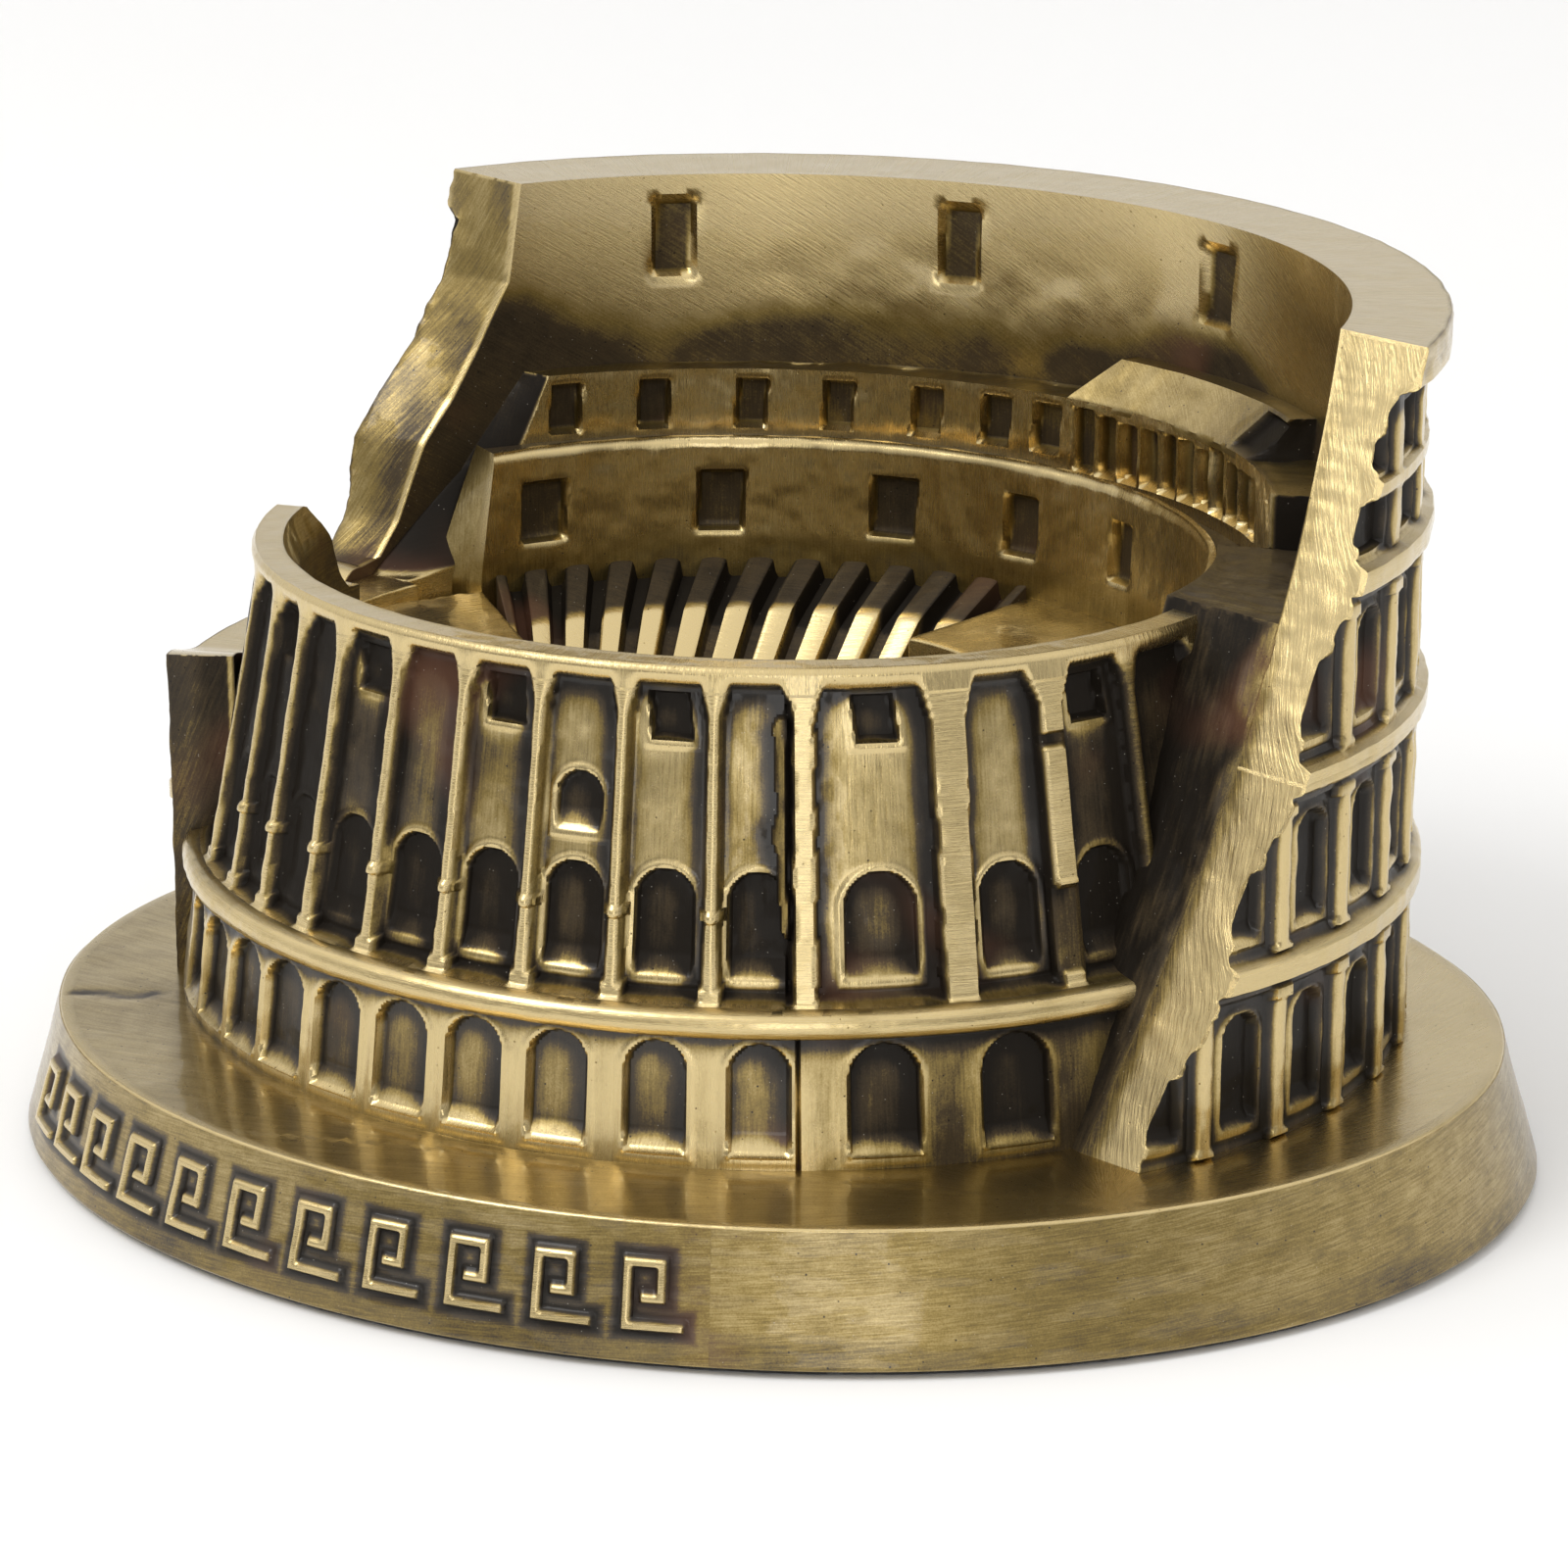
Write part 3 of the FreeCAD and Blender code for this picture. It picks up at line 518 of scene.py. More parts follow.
def antique_brass():
    """Brass plate with a dark patina left in the hollows, brushed, then lacquered."""
    material, tree = nodes_of("antique_brass_finish")
    tone = node(tree, "ShaderNodeAttribute", attribute_name="tone").outputs["Vector"]
    flow = node(tree, "ShaderNodeAttribute", attribute_name="flow").outputs["Vector"]
    parts = node(tree, "ShaderNodeSeparateXYZ", {0: tone})
    wear_and_highlight, grind, dark = parts.outputs
    place = node(tree, "ShaderNodeTexCoord").outputs["Object"]
    in_mm = scaled(tree, place, (1000, 1000, 1000))
    along = scaled(tree, flow, (0.45, 9.0, 3.0))
    file_marks = scaled(tree, flow, (0.5, 4.2, 2.0))
    fine = cloud(tree, along, 1.0, 4.0, 0.65)
    marks = cloud(tree, file_marks, 1.0, 3.0, 0.6)
    broad = cloud(tree, in_mm, 0.16, 3.0, 0.5)
    medium = cloud(tree, in_mm, 0.7, 4.0, 0.6)
    grain = cloud(tree, in_mm, 9.0, 2.0, 0.6)
    copper = cloud(tree, in_mm, 0.11, 1.0, 0.4)
    pits, glint_cells = (
        node(tree, "ShaderNodeTexVoronoi", {"Vector": in_mm, "Scale": scale}).outputs["Distance"]
        for scale in (1.15, 1.9)
    )
    shine = swing(tree, broad, 0.3, wear_and_highlight)
    shine = swing(tree, medium, 0.28, shine)
    shine = swing(tree, fine, 0.42, shine)
    streaks = sums(tree, "MULTIPLY", sums(tree, "SUBTRACT", marks, 0.5), grind)
    shine = sums(tree, "MULTIPLY_ADD", streaks, 0.7, shine)
    shine = swing(tree, grain, 0.3, shine)
    shine = sums(tree, "MULTIPLY_ADD", dark, -0.9, shine)
    spot = ranged(tree, pits, 0.035, 0.085, 1.0, 0.0)
    shine = sums(tree, "SUBTRACT", shine, sums(tree, "MULTIPLY", spot, 0.5))
    shine = ranged(tree, shine, -0.35, 0.95)
    ramp = node(tree, "ShaderNodeValToRGB", {0: shine})
    stops = ramp.color_ramp
    stops.elements[0].position, stops.elements[0].color = 0.0, BLACK_PATINA_AND_SHADE
    stops.elements[1].position, stops.elements[1].color = 1.0, BRASS_LIGHT
    stops.elements.new(0.3).color = PATINA
    stops.elements.new(0.62).color = BRASS_DEEP
    ruddy = sums(tree, "MULTIPLY", ranged(tree, copper, 0.60, 0.78), ranged(tree, shine, 0.7, 0.3, 0.0, 0.3))
    colour = blend_colour(tree, ruddy, ramp.outputs[0], COPPER)
    # Pale dots painted into the base colour: painted glints off the lacquer.
    painted_glints = sums(tree, "MULTIPLY", ranged(tree, glint_cells, 0.03, 0.06, 1.0, 0.0), 0.5)
    colour = blend_colour(tree, painted_glints, colour, (0.75, 0.7, 0.6, 1))
    gloss = ranged(tree, shine, 0.0, 1.0, 0.56, 0.26)
    sheen = ranged(tree, dark, 0.1, 0.8, 0.5, 0.12)
    gloss = swing(tree, fine, 0.22, gloss)
    relief = sums(tree, "MULTIPLY_ADD", streaks, 1.4, sums(tree, "MULTIPLY", fine, 0.5))
    relief = sums(tree, "MULTIPLY_ADD", spot, -0.5, relief)
    relief = sums(tree, "MULTIPLY_ADD", grain, 0.14, relief)
    bump = bumps(tree, 0.3, 0.00009, relief)
    lacquer = bumps(tree, 0.12, 0.0001, medium)
    values = {
        "Base Color": colour, "Metallic": ranged(tree, shine, 0.1, 0.6, 0.3, 1.0), "Roughness": gloss,
        "Specular IOR Level": sheen, "Normal": bump, "Coat Normal": lacquer,
        "Coat Weight": ranged(tree, dark, 0.05, 0.7, 0.6, 0.06), "Coat Roughness": 0.07,
    }
    finish(tree, values)
    return material


def felt():
    """Dark flock with fibres standing at all angles."""
    material, tree = nodes_of("flock_finish")
    place = node(tree, "ShaderNodeTexCoord").outputs["Object"]
    in_mm = scaled(tree, place, (1000, 1000, 1000))
    fibres = cloud(tree, in_mm, 6.0, 4.0, 0.7)
    patches = cloud(tree, in_mm, 0.3, 2.0, 0.5)
    colour = blend_colour(tree, fibres, (0.006, 0.006, 0.007, 1), (0.045, 0.043, 0.042, 1))
    colour = blend_colour(tree, sums(tree, "MULTIPLY", patches, 0.3), colour, (0.03, 0.028, 0.026, 1))
    bump = bumps(tree, 0.6, 0.0002, fibres)
    values = {"Base Color": colour, "Roughness": 0.95, "Normal": bump, "Sheen Weight": 0.4}
    finish(tree, values)
    return material


BRASS = antique_brass()
FLOCK = felt()


# ---- Relief shared by the walls ----
def arch_inside(x, y, half, low, high):
    """How far a point lies inside a round-headed opening; negative outside it."""
    spring = high - half
    head = half - np.hypot(x, y - spring)
    body = np.minimum(half - np.abs(x), y - low)
    return np.where(y > spring, head, body)


def box_inside(x, y, half, low, high):
    """How far a point lies inside a square opening; negative outside it."""
    return np.minimum(half - np.abs(x), np.minimum(y - low, high - y))


def opening(inside, depth, edge=0.24, frame=0.0):
    """A sunk opening with bevelled edges and, if asked for, a raised frame around it."""
    return frame * band(inside, -0.42, -0.06, 0.16) - depth * ease(inside - 0.06, edge)


def sill(y, low, depth, run):
    """A sloping sill that fills the foot of an opening."""
    return depth * np.clip(1 - (y - low) / run, 0, 1)


def stand_out(depth, feature):
    """Lets a raised feature cover what lies under it, and leaves the rest alone."""
    return np.where(feature > 0.004, np.maximum(depth, feature), depth)


# ---- Tall outer wall ----
STUB_TOP = DECK + 20.6
STOREYS = ((0.0, 9.4), (11.0, 19.9), (21.5, 30.1))
ARCH_HALF, ARCH_DEPTH, ARCH_FRAME = 1.25, 0.55, 0.14
ARCH_FOOT_SHARE, ARCH_HEAD_SHARE = 0.12, 0.84
FIELD_HALF, FIELD_DEPTH = 1.95, 0.12
CAPITAL_PROUD, BASE_PROUD = 0.62, 0.52
CORNICE_PROUD, CORNICE_TALL, LIP_PROUD = 1.0, 1.5, 0.32
ATTIC_FOOT, ATTIC_PILASTER, ATTIC_BAR = 31.7, 0.42, (35.0, 36.0)
CROWN_FOOT = 40.45
PANEL_DEPTH = 0.6
# Sunk panels of the attic: half width, foot and head above the deck.
LOWER_PANEL = (1.5, 32.1, 34.7)
UPPER_PANEL = (1.35, 36.4, 39.4)
LEFT_LEVELS = (STUB_TOP, 31.0, 35.5, 38.0, 41.0, 45.0, TALL_TOP)
LEFT_OUT = (151.0, 148.5, 147.0, 144.0, 139.5, 135.5, 133.0)
LEFT_IN = (150.5, 147.0, 143.0, 139.0, 135.5, 131.5, 129.9)
STUB_END = 187.0
CUT_POINTS = ((37.2, -3.9, TALL_TOP), (32.3, -1.0, TALL_TOP), (25.0, -21.2, DECK))


def cut_plane():
    """A point on the filed slope at the right end, and its normal towards the wall."""
    a, b, c = (np.array(p) for p in CUT_POINTS)
    normal = np.cross(b - a, c - a)
    normal = normal / np.linalg.norm(normal)
    return a, normal if normal[1] > 0 else -normal


CUT_AT, CUT_NORMAL = cut_plane()


def past_cut(points):
    """How far points lie behind the filed slope."""
    return (points - CUT_AT) @ CUT_NORMAL


def tall_relief(t, z):
    """How far the columns, arches, cornices, attic and crown stand out from the tall wall."""
    s = arc_length(TALL_OUTER, t) - arc_length(TALL_OUTER, FIRST_COLUMN)
    from_column = s - BAY_PITCH * np.round(s / BAY_PITCH)
    bay = np.floor(s / BAY_PITCH)
    from_middle = s - BAY_PITCH * (bay + 0.5)
    h = z - DECK
    worn = 0.05 * rough(s, z, 0, 1.6, 5)
    depth = 0.0 * h
    for low, high in STOREYS:
        clear = high - low
        foot, head = low + ARCH_FOOT_SHARE * clear, low + ARCH_HEAD_SHARE * clear
        inside = arch_inside(from_middle, h, ARCH_HALF, foot, head)
        cut = opening(inside, ARCH_DEPTH, 0.26, ARCH_FRAME) + sill(h, foot, 0.5, 0.9) * ease(inside, 0.2)
        field = box_inside(from_middle, h, FIELD_HALF, low + 0.25, high - 0.35)
        depth = depth + cut * (h > low - 0.5) * (h < high) - FIELD_DEPTH * ease(field, 0.25)
        shaft = COLUMN_RADIUS * dome(from_column, 0.62) * band(h, low + 0.1, high - 0.2, 0.3)
        cap = CAPITAL_PROUD * band(from_column, -0.74, 0.74, 0.16) * band(h, high - 1.15, high - 0.3, 0.2)
        base = BASE_PROUD * band(from_column, -0.7, 0.7, 0.16) * band(h, low, low + 0.55, 0.2)
        depth = stand_out(depth, np.maximum(shaft, np.maximum(cap, base)))
        ledge = CORNICE_PROUD * band(h, high, high + CORNICE_TALL, 0.42)
        lip = LIP_PROUD * band(h, high - 0.55, high + 0.3, 0.2)
        depth = stand_out(depth, np.maximum(ledge, lip))
    attic = ease(h - ATTIC_FOOT + 0.1, 0.2)
    pilaster = ATTIC_PILASTER * band(from_column, -0.62, 0.62, 0.2) * attic
    lower = opening(box_inside(from_middle, h, *LOWER_PANEL), PANEL_DEPTH, 0.28, 0.06)
    upper = opening(box_inside(from_middle, h, *UPPER_PANEL), PANEL_DEPTH, 0.28, 0.06)
    depth = np.where(h > ATTIC_FOOT, stand_out(lower + upper, pilaster), depth)
    depth = stand_out(depth, 0.55 * band(h, *ATTIC_BAR, 0.3))
    crown = CROWN_PROUD * ease(h - CROWN_FOOT, 0.9)
    depth = np.where(h > 39.6, np.maximum(depth, crown), depth)
    left = np.where(z > STUB_TOP + 0.01, np.interp(z, LEFT_LEVELS, LEFT_OUT), STUB_END - 3)
    stub_edge = ease(t - 151, 4) * ease(h - 15.0, 3)
    whole = np.maximum(ease(left - 2.2 - t, 2.6), ease(h - 40.0, 0.5)) * (1 - stub_edge)
    depth = depth * whole - 0.1 * ease(h - 42.8, 0.16)
    return depth + worn


def tall_front(t, z):
    depth = tall_relief(t, z)
    wear_and_highlight = np.clip(0.5 + 2.6 * cavity(depth, 4), 0, 1) + 0.3 * np.clip(depth, -0.6, 0.5)
    dark = 0.16 + 0.25 * ease(DECK + 3.5 - z, 4.0) + 0.12 * noise(t / 9, z / 6, 0, 9)
    dark = dark + 0.2 * ease(-0.35 - depth, 0.2) + 0.2 * ease(0.3 - depth, 0.3)
    s = arc_length(TALL_OUTER, t)
    flow = triple(z, s, depth)
    on_ledge = depth > 0.75
    flow = np.where(on_ledge[..., None], triple(s, z * 1.5, depth), flow)
    return place_on(TALL_OUTER, t, z, depth), tone_of(wear_and_highlight, 0.15 + 0.3 * on_ledge, dark), flow


INNER_WINDOWS = (47.0, 80.7, 112.3)
WINDOW_DEPTH = 0.75


def tall_back(t, z):
    """The smooth inner face with three tall windows below the crown."""
    s = arc_length(TALL_INNER, t)
    sunk = 0.0 * z
    for angle in INNER_WINDOWS:
        x = s - arc_length(TALL_INNER, angle)
        inside = box_inside(x + 0.05 * (z - TALL_TOP + 4), z, 1.2, TALL_TOP - 6.3, TALL_TOP - 1.6)
        sunk = sunk + WINDOW_DEPTH * ease(inside, 0.5)
    ripple = 0.07 * rough(s, z, 0, 2.6, 15) * ease(TALL_TOP - 5 - z, 3) * band(t, 55, 100, 20)
    depth = -sunk + ripple
    near_window = np.clip(sunk / WINDOW_DEPTH, 0, 1) ** 3
    low_dark = ease(TALL_TOP - 8.2 - z + 1.4 * noise(t / 11, 0, 0, 4), 5.0)
    left_dark = ease(t - 118, 10) * ease(TALL_TOP - 6 - z, 5)
    dark = 1.5 * low_dark * (0.75 + 0.25 * noise(t / 6, z / 5, 0, 8)) + 0.3 * left_dark + 0.95 * near_window
    wear_and_highlight = 0.95 + 0.12 * noise(t / 12, z / 8, 0, 3)
    flow = triple(s * 0.8 + z * 0.6, z * 0.8 - s * 0.5, depth)
    return place_on(TALL_INNER, t, z, -depth), tone_of(wear_and_highlight, 0.1, dark), flow


def no_relief(t, z):
    return 0 * t


def right_end(oval, relief):
    """The angle at which a face of the tall wall meets the filed slope, at each level."""
    levels = np.linspace(DECK, TALL_TOP, 260)
    angles = np.arange(-62.0, 14.0, 0.08)
    grid_t, grid_z = np.meshgrid(angles, levels)
    gap = past_cut(place_on(oval, grid_t, grid_z, relief(grid_t, grid_z)))
    last = np.argmax(gap[:, ::-1] < 0, axis=1)
    return levels, angles[len(angles) - 1 - last]


RIGHT_OUT = right_end(TALL_OUTER, tall_relief)
RIGHT_IN = right_end(TALL_INNER, no_relief)


def tall_ends(right, left, ragged):
    """The filed slope at the right and the broken edge or stub end at the left."""
    def ends(z):
        low = np.interp(z, right[0], right[1])
        slope = np.interp(z, LEFT_LEVELS, left) + ragged * rough(z, 0, 0, 1.1, 44, 3)
        return low, np.where(z > STUB_TOP + 0.01, slope, STUB_END)
    return ends


def tall_cap(points, side):
    """The right end is filed bright above and dark below. The left end is dark towards its inner edge."""
    z = points[..., 2]
    across = np.linspace(0, 1, points.shape[1])[None, :]
    mottle = 0.18 * noise(points[..., 0] / 2, points[..., 1] / 2, z / 5, 12)
    if side == 0:
        dark = 0.5 * ease(across - 0.8 + mottle, 0.4) * ease(34 - z, 8) + 0.1 * ease(17 - z, 8)
        wear_and_highlight = 1.0 + 0.6 * mottle - 0.3 * ease(across - 0.75, 0.3)
        return tone_of(wear_and_highlight, 0.9, dark)
    ridge = ease(across - 0.93, 0.06)
    inner_side = 0.25 * ease(across - 0.45 + mottle, 0.5) * ease(40 - z, 8) * (1 - ridge)
    dark = 0.3 + inner_side + 0.2 * ease(STUB_TOP - z, 3)
    return tone_of(0.62 + mottle + 0.4 * ridge, 0.7, dark)


def stub_crest(t):
    """The stub's broken top, which falls away towards its end."""
    return STUB_TOP - 2.4 * ease(t - 157, 6) + 1.45 * ease(t - 181, 12)


def build_tall_wall():
    ends = tall_ends(RIGHT_OUT, LEFT_OUT, 0.22), tall_ends(RIGHT_IN, LEFT_IN, 0.0)
    step = 0.2
    for name, low, high, arc, crest in (
        ("tall_wall_lower_storeys", DECK, STUB_TOP, (-49.0, STUB_END), stub_crest),
        ("tall_wall_upper_storeys", STUB_TOP, TALL_TOP, (-32.0, 153.0), None),
    ):
        stops = (low, step), (high, step)
        cast_wall(name, "tall_outer_wall", TALL_OUTER, arc, stops, step, (tall_front, tall_back), ends,
                  steps=24, cap_rough=0.035, cap_tone=tall_cap, crest=crest)


build_tall_wall()


# ---- Low front wall ----
STRING_LOW, STRING_HIGH = 7.4, 9.0
LOW_HEIGHT = LOW_TOP - DECK
ARCADES = (203.9, 211.8, 219.7, 227.5, 235.9, 244.3, 252.7, 261.5, 271.1, 280.9, 292.8, 306.0)
RINGED = (211.7, 219.7, 228.3, 237.8, 247.3, 256.7, 266.2, 276.0, 313.6)
FLAT_PILASTER = 301.2
SEAM_PILASTER = 285.4
NOTCHED_PILASTER = 313.6
SMALL_ARCH_PILASTER = 266.2
SLIM_HALF, FLAT_HALF, SEAM_HALF, NOTCHED_HALF = 0.34, 0.95, 0.62, 0.72
FLARE, FLARE_LEVEL = 0.5, 25.4
BEAD_LEVEL, NOTCH_LEVEL = 13.7, 14.6
# Openings of the low wall: half width, foot and head above the deck.
ARCADE_FOOT, ARCADE_HEAD = 0.7, 7.05
NICHE_FOOT, NICHE_HEAD = 10.1, 16.0
SMALL_ARCH = (1.35, 17.6, 20.9)
HIGH_WINDOW = (1.2, 23.0, 25.6)
LOW_START, LOW_END = 163.0, 340.0
LOW_GROUND_START = 191.0
LOW_MID = blend_ovals(LOW_SHOULDER, LOW_RIM, 0.5)
LOW_ARCH_FACE = blend_ovals(LOW_FOOT, LOW_STRING, 0.5)


def low_oval(z):
    """The battered outside of the low wall, with a step back above its string course."""
    h = z - DECK
    ground = np.clip(h / STRING_HIGH, 0, 1)
    upper = np.clip((h - STRING_HIGH) / (LOW_HEIGHT - STRING_HIGH), 0, 1)
    above = ease(h - STRING_HIGH, 0.4)
    below_oval = blend_ovals(LOW_FOOT, LOW_STRING, ground)
    above_oval = blend_ovals(LOW_SHOULDER, LOW_RIM, upper)
    return blend_ovals(below_oval, above_oval, above)


def low_pilasters(h, s):
    """Slim shafts that widen into the ground band under the rim."""
    depth = 0.0 * h
    for k, angle in enumerate(PILASTERS):
        x = s - arc_length(LOW_MID, angle)
        near = np.abs(x) < 4.5
        ragged = 0.1 * noise(h / 0.8, k * 7, 0, 21)
        flare = FLARE * ease(h - FLARE_LEVEL, 2.6)
        if angle == FLAT_PILASTER:
            half = FLAT_HALF + ragged + 0.15 * ease(h - 22, 6) + flare
            shaft = 0.52 * ease(half - np.abs(x), 0.3)
        elif angle == SEAM_PILASTER:
            half = SEAM_HALF + ragged + flare * 1.1
            shaft = 0.55 * ease(half - np.abs(x), 0.3)
            torn = ease(0.42 - np.abs(x + 0.95 - 0.3 * noise(h / 1.5, 0, 0, 77)), 0.4)
            torn = 0.34 * torn * (0.6 + 0.4 * noise(h / 1.1, 3, 0, 78)) * band(h, 13.5, 23.5, 2.5)
            shaft = np.maximum(shaft, torn)
        elif angle == NOTCHED_PILASTER:
            half = NOTCHED_HALF + flare * 1.35
            shaft = 0.55 * ease(half - np.abs(x), 0.35) * (1 - 0.75 * band(h, 22.2, 22.9, 0.3))
            shaft = shaft * (0.25 + 0.75 * ease(h - NOTCH_LEVEL, 0.5))
        else:
            half = SLIM_HALF + 0.3 * ragged + flare + 0.08 * ease(12 - h, 3)
            swell = np.sqrt(np.clip(1.05 - (x / (half + 0.05)) ** 2, 0, 1))
            shaft = 0.46 * swell * ease(half + 0.04 - np.abs(x), 0.16)
        if angle in RINGED:
            ring_at = BEAD_LEVEL if angle != NOTCHED_PILASTER else NOTCH_LEVEL
            shaft = shaft + 0.24 * dome(h - ring_at, 0.34) * ease(0.6 - np.abs(x), 0.2)
        foot = 0.5 * band(x, -0.62, 0.62, 0.2) * ease(9.8 - h, 0.3)
        depth = np.where(near, np.maximum(depth, np.maximum(shaft, foot)), depth)
    return depth


def low_relief(t, z):
    """How far the arcade, string course, bays and pilasters stand out from the low wall."""
    h = (z - DECK)
    s = arc_length(LOW_MID, t)
    s_ground = arc_length(LOW_ARCH_FACE, t)
    worn_left = ease(232 - t, 22)
    lumps = (0.025 + 0.035 * worn_left) * rough(s, z * 0.7, 0, 1.5, 41)
    ground = 0.0 * h
    for angle in ARCADES:
        x = s_ground - arc_length(LOW_ARCH_FACE, angle)
        half = 1.72 + (0.28 if angle > 290 else 0.0)
        inside = arch_inside(x, h, half, ARCADE_FOOT, ARCADE_HEAD)
        cut = opening(inside, 0.6, 0.24, 0.07) + sill(h, ARCADE_FOOT + 0.05, 0.55, 1.1) * ease(inside, 0.2)
        ground = ground + np.where(np.abs(x) < 3.0, cut, 0)
    roll = 0.78 * dome(h - 8.2, 0.86)
    from_seam = s_ground - arc_length(LOW_ARCH_FACE, SEAM_ANGLE) - 0.12 * noise(h / 2, 0, 0, 5)
    seam = -0.3 * ease(0.1 - np.abs(from_seam), 0.16)
    upper = 0.0 * h
    for k in range(len(PILASTERS) - 1):
        left, right = arc_length(LOW_MID, PILASTERS[k]), arc_length(LOW_MID, PILASTERS[k + 1])
        x = s - (left + right) / 2
        near = (s > left) & (s < right)
        half = (right - left) / 2
        bay_half = half - 0.5 - 0.3 * ease(h - 24.9, 2.2)
        bay = box_inside(x, h, bay_half, 9.3, 26.3 + 0.3 * noise(k * 3.1, 0, 0, 6))
        bay_depth = (0.46 - 0.14 * worn_left) * ease(bay, 0.34)
        arch_half = min(1.65, half - 0.85) if half < 3.2 else 2.0
        inside = arch_inside(x, h, arch_half, NICHE_FOOT, NICHE_HEAD)
        worn = 1 - 0.55 * worn_left
        cut = opening(inside, 0.45, 0.22, 0.1) + sill(h, NICHE_FOOT, 0.42, 1.2) * ease(inside, 0.2)
        if PILASTERS[k + 1] == SMALL_ARCH_PILASTER:
            small = arch_inside(x, h, *SMALL_ARCH)
            cut = cut + opening(small, 0.45, 0.26, 0.1) + sill(h, SMALL_ARCH[1], 0.42, 1.2) * ease(small, 0.2)
        if k % 2 and PILASTERS[k] < 330:
            window = box_inside(x + 0.12 * (h - 24.4), h, *HIGH_WINDOW)
            cut = cut + opening(window, 0.62, 0.3, 0.05)
        upper = np.where(near, -bay_depth + cut * worn, upper)
    shafts = low_pilasters(h, s)
    upper = stand_out(upper, shafts) * (h > STRING_HIGH)
    rim = ease(h - (LOW_HEIGHT - 1.0), 1.1)
    upper = upper + (0.5 - upper) * rim
    from_seam = s - arc_length(LOW_MID, SEAM_ANGLE) + 0.35 - 0.1 * noise(h / 2, 1, 0, 5)
    upper_seam = -0.5 * ease(0.14 - np.abs(from_seam), 0.16) * band(h, 9.1, 25.5, 0.5)
    on_ground = ease(STRING_LOW - 0.02 - h, 0.2)
    depth = on_ground * (ground + seam) + (1 - on_ground) * np.where(h < 9.06, roll, upper + upper_seam)
    depth = depth - 0.14 * ease(h - (LOW_HEIGHT - 0.18), 0.2)
    return depth + lumps * (1 - 0.5 * rim)


def low_front(t, z):
    depth = low_relief(t, z)
    h = z - DECK
    s = arc_length(LOW_MID, t)
    lift = cavity(depth, 4)
    rim = ease(h - (LOW_HEIGHT - 1.4), 1.3)
    roll = band(h, STRING_LOW, STRING_HIGH, 0.3)
    above = h > STRING_HIGH
    floor = np.where(above, ease(-0.6 - depth, 0.3), ease(-0.34 - depth, 0.3))
    bay = above * ease(-0.2 - depth, 0.2)
    wear_and_highlight = 0.72 + 2.2 * lift + 0.3 * np.clip(depth + 0.2, -0.4, 0.7) + 0.25 * rim + 0.1 * roll
    wear_and_highlight = wear_and_highlight - 0.24 * ease(238 - t, 36) * (1 - rim)
    halo = np.clip(-1.5 * cavity(depth, 9), 0, 0.45)
    flank = ease(depth + 0.3, 0.12) * ease(0.36 - depth, 0.1) * ease(25.5 - h, 1.5)
    left_side = ease(250 - t, 30)
    dark = 0.22 * floor + 0.38 * bay * (1 - floor) * left_side + 0.3 * bay * ease(14.5 - h, 6)
    dark = dark + above * (halo + 0.75 * flank) - 0.12 * bay * ease(t - 268, 20)
    dark = dark + 0.1 * ease(3.5 - h, 5) + 0.22 * ease(226 - t, 30) + 0.8 * ease(t - 315, 13) * above
    # Darker towards the right end below the string course: dark patina, with painted shade under the string
    # course.
    dark = dark + 0.62 * ease(t - 289 + 6 * noise(t / 4, z / 3, 0, 14), 24) * (1 - above) * (1 - 0.6 * roll)
    dark = (dark + 0.14 * noise(t / 5, z / 5, 0, 13)) * (1 - 0.7 * rim)
    shaft = depth > 0.3
    level = triple(s, z * 1.5, depth)
    upright = triple(z, s, depth)
    filed_across = shaft | (roll > 0.5)
    flow = np.where(filed_across[..., None], level, upright * 0.8)
    flow = np.where((rim > 0.4)[..., None], upright, flow)
    return place_on(low_oval(z), t, z, depth), tone_of(wear_and_highlight, 0.25 + 0.6 * rim + 0.3 * shaft, dark), flow


def low_back(t, z):
    x, y, _, _ = oval_point(LOW_INNER, t)
    lumps = 0.05 * rough(x, y, z, 2.4, 47)
    s = arc_length(LOW_INNER, t)
    dark = 0.55 * ease(LOW_TOP - 1.5 - z, 4.0)
    flare = 0.75 * ease(z - LOW_TOP + 1.3, 2.6) - lumps
    return place_on(LOW_INNER, t, z, flare), tone_of(0.66, 0.2, dark), triple(s, z, 0)


def low_crest(t):
    """The rim's level, which breaks away where the wall curls in at its left end."""
    return LOW_TOP - 6.2 * ease(170.5 + 0.6 * rough(t, 0, 0, 2.0, 49, 2) - t, 13.0)


def plain_cap(points, side):
    mottle = 0.15 * noise(points[..., 0] / 2, points[..., 1] / 2, points[..., 2] / 3, 14)
    return tone_of(0.45 + mottle, 0.3, 0.85)


def fixed_ends(low, high):
    def ends(z):
        return low, high
    return ends


def build_low_wall():
    step = 0.15
    string_top = DECK + STRING_HIGH
    for name, low, high, start in (
        ("low_wall_arcade", DECK, string_top, LOW_GROUND_START),
        ("low_wall_upper_storey", string_top, LOW_TOP, LOW_START),
    ):
        ends = fixed_ends(start, LOW_END)
        stops = (low, step), (high, step)
        cast_wall(name, "low_front_wall", LOW_MID, (start, LOW_END), stops, step, (low_front, low_back),
                  (ends, ends), steps=12, cap_rough=0.08, cap_tone=plain_cap, top_rough=0.05,
                  rim_tone=(0.95, 0.6, 0.0), crest=low_crest)


build_low_wall()


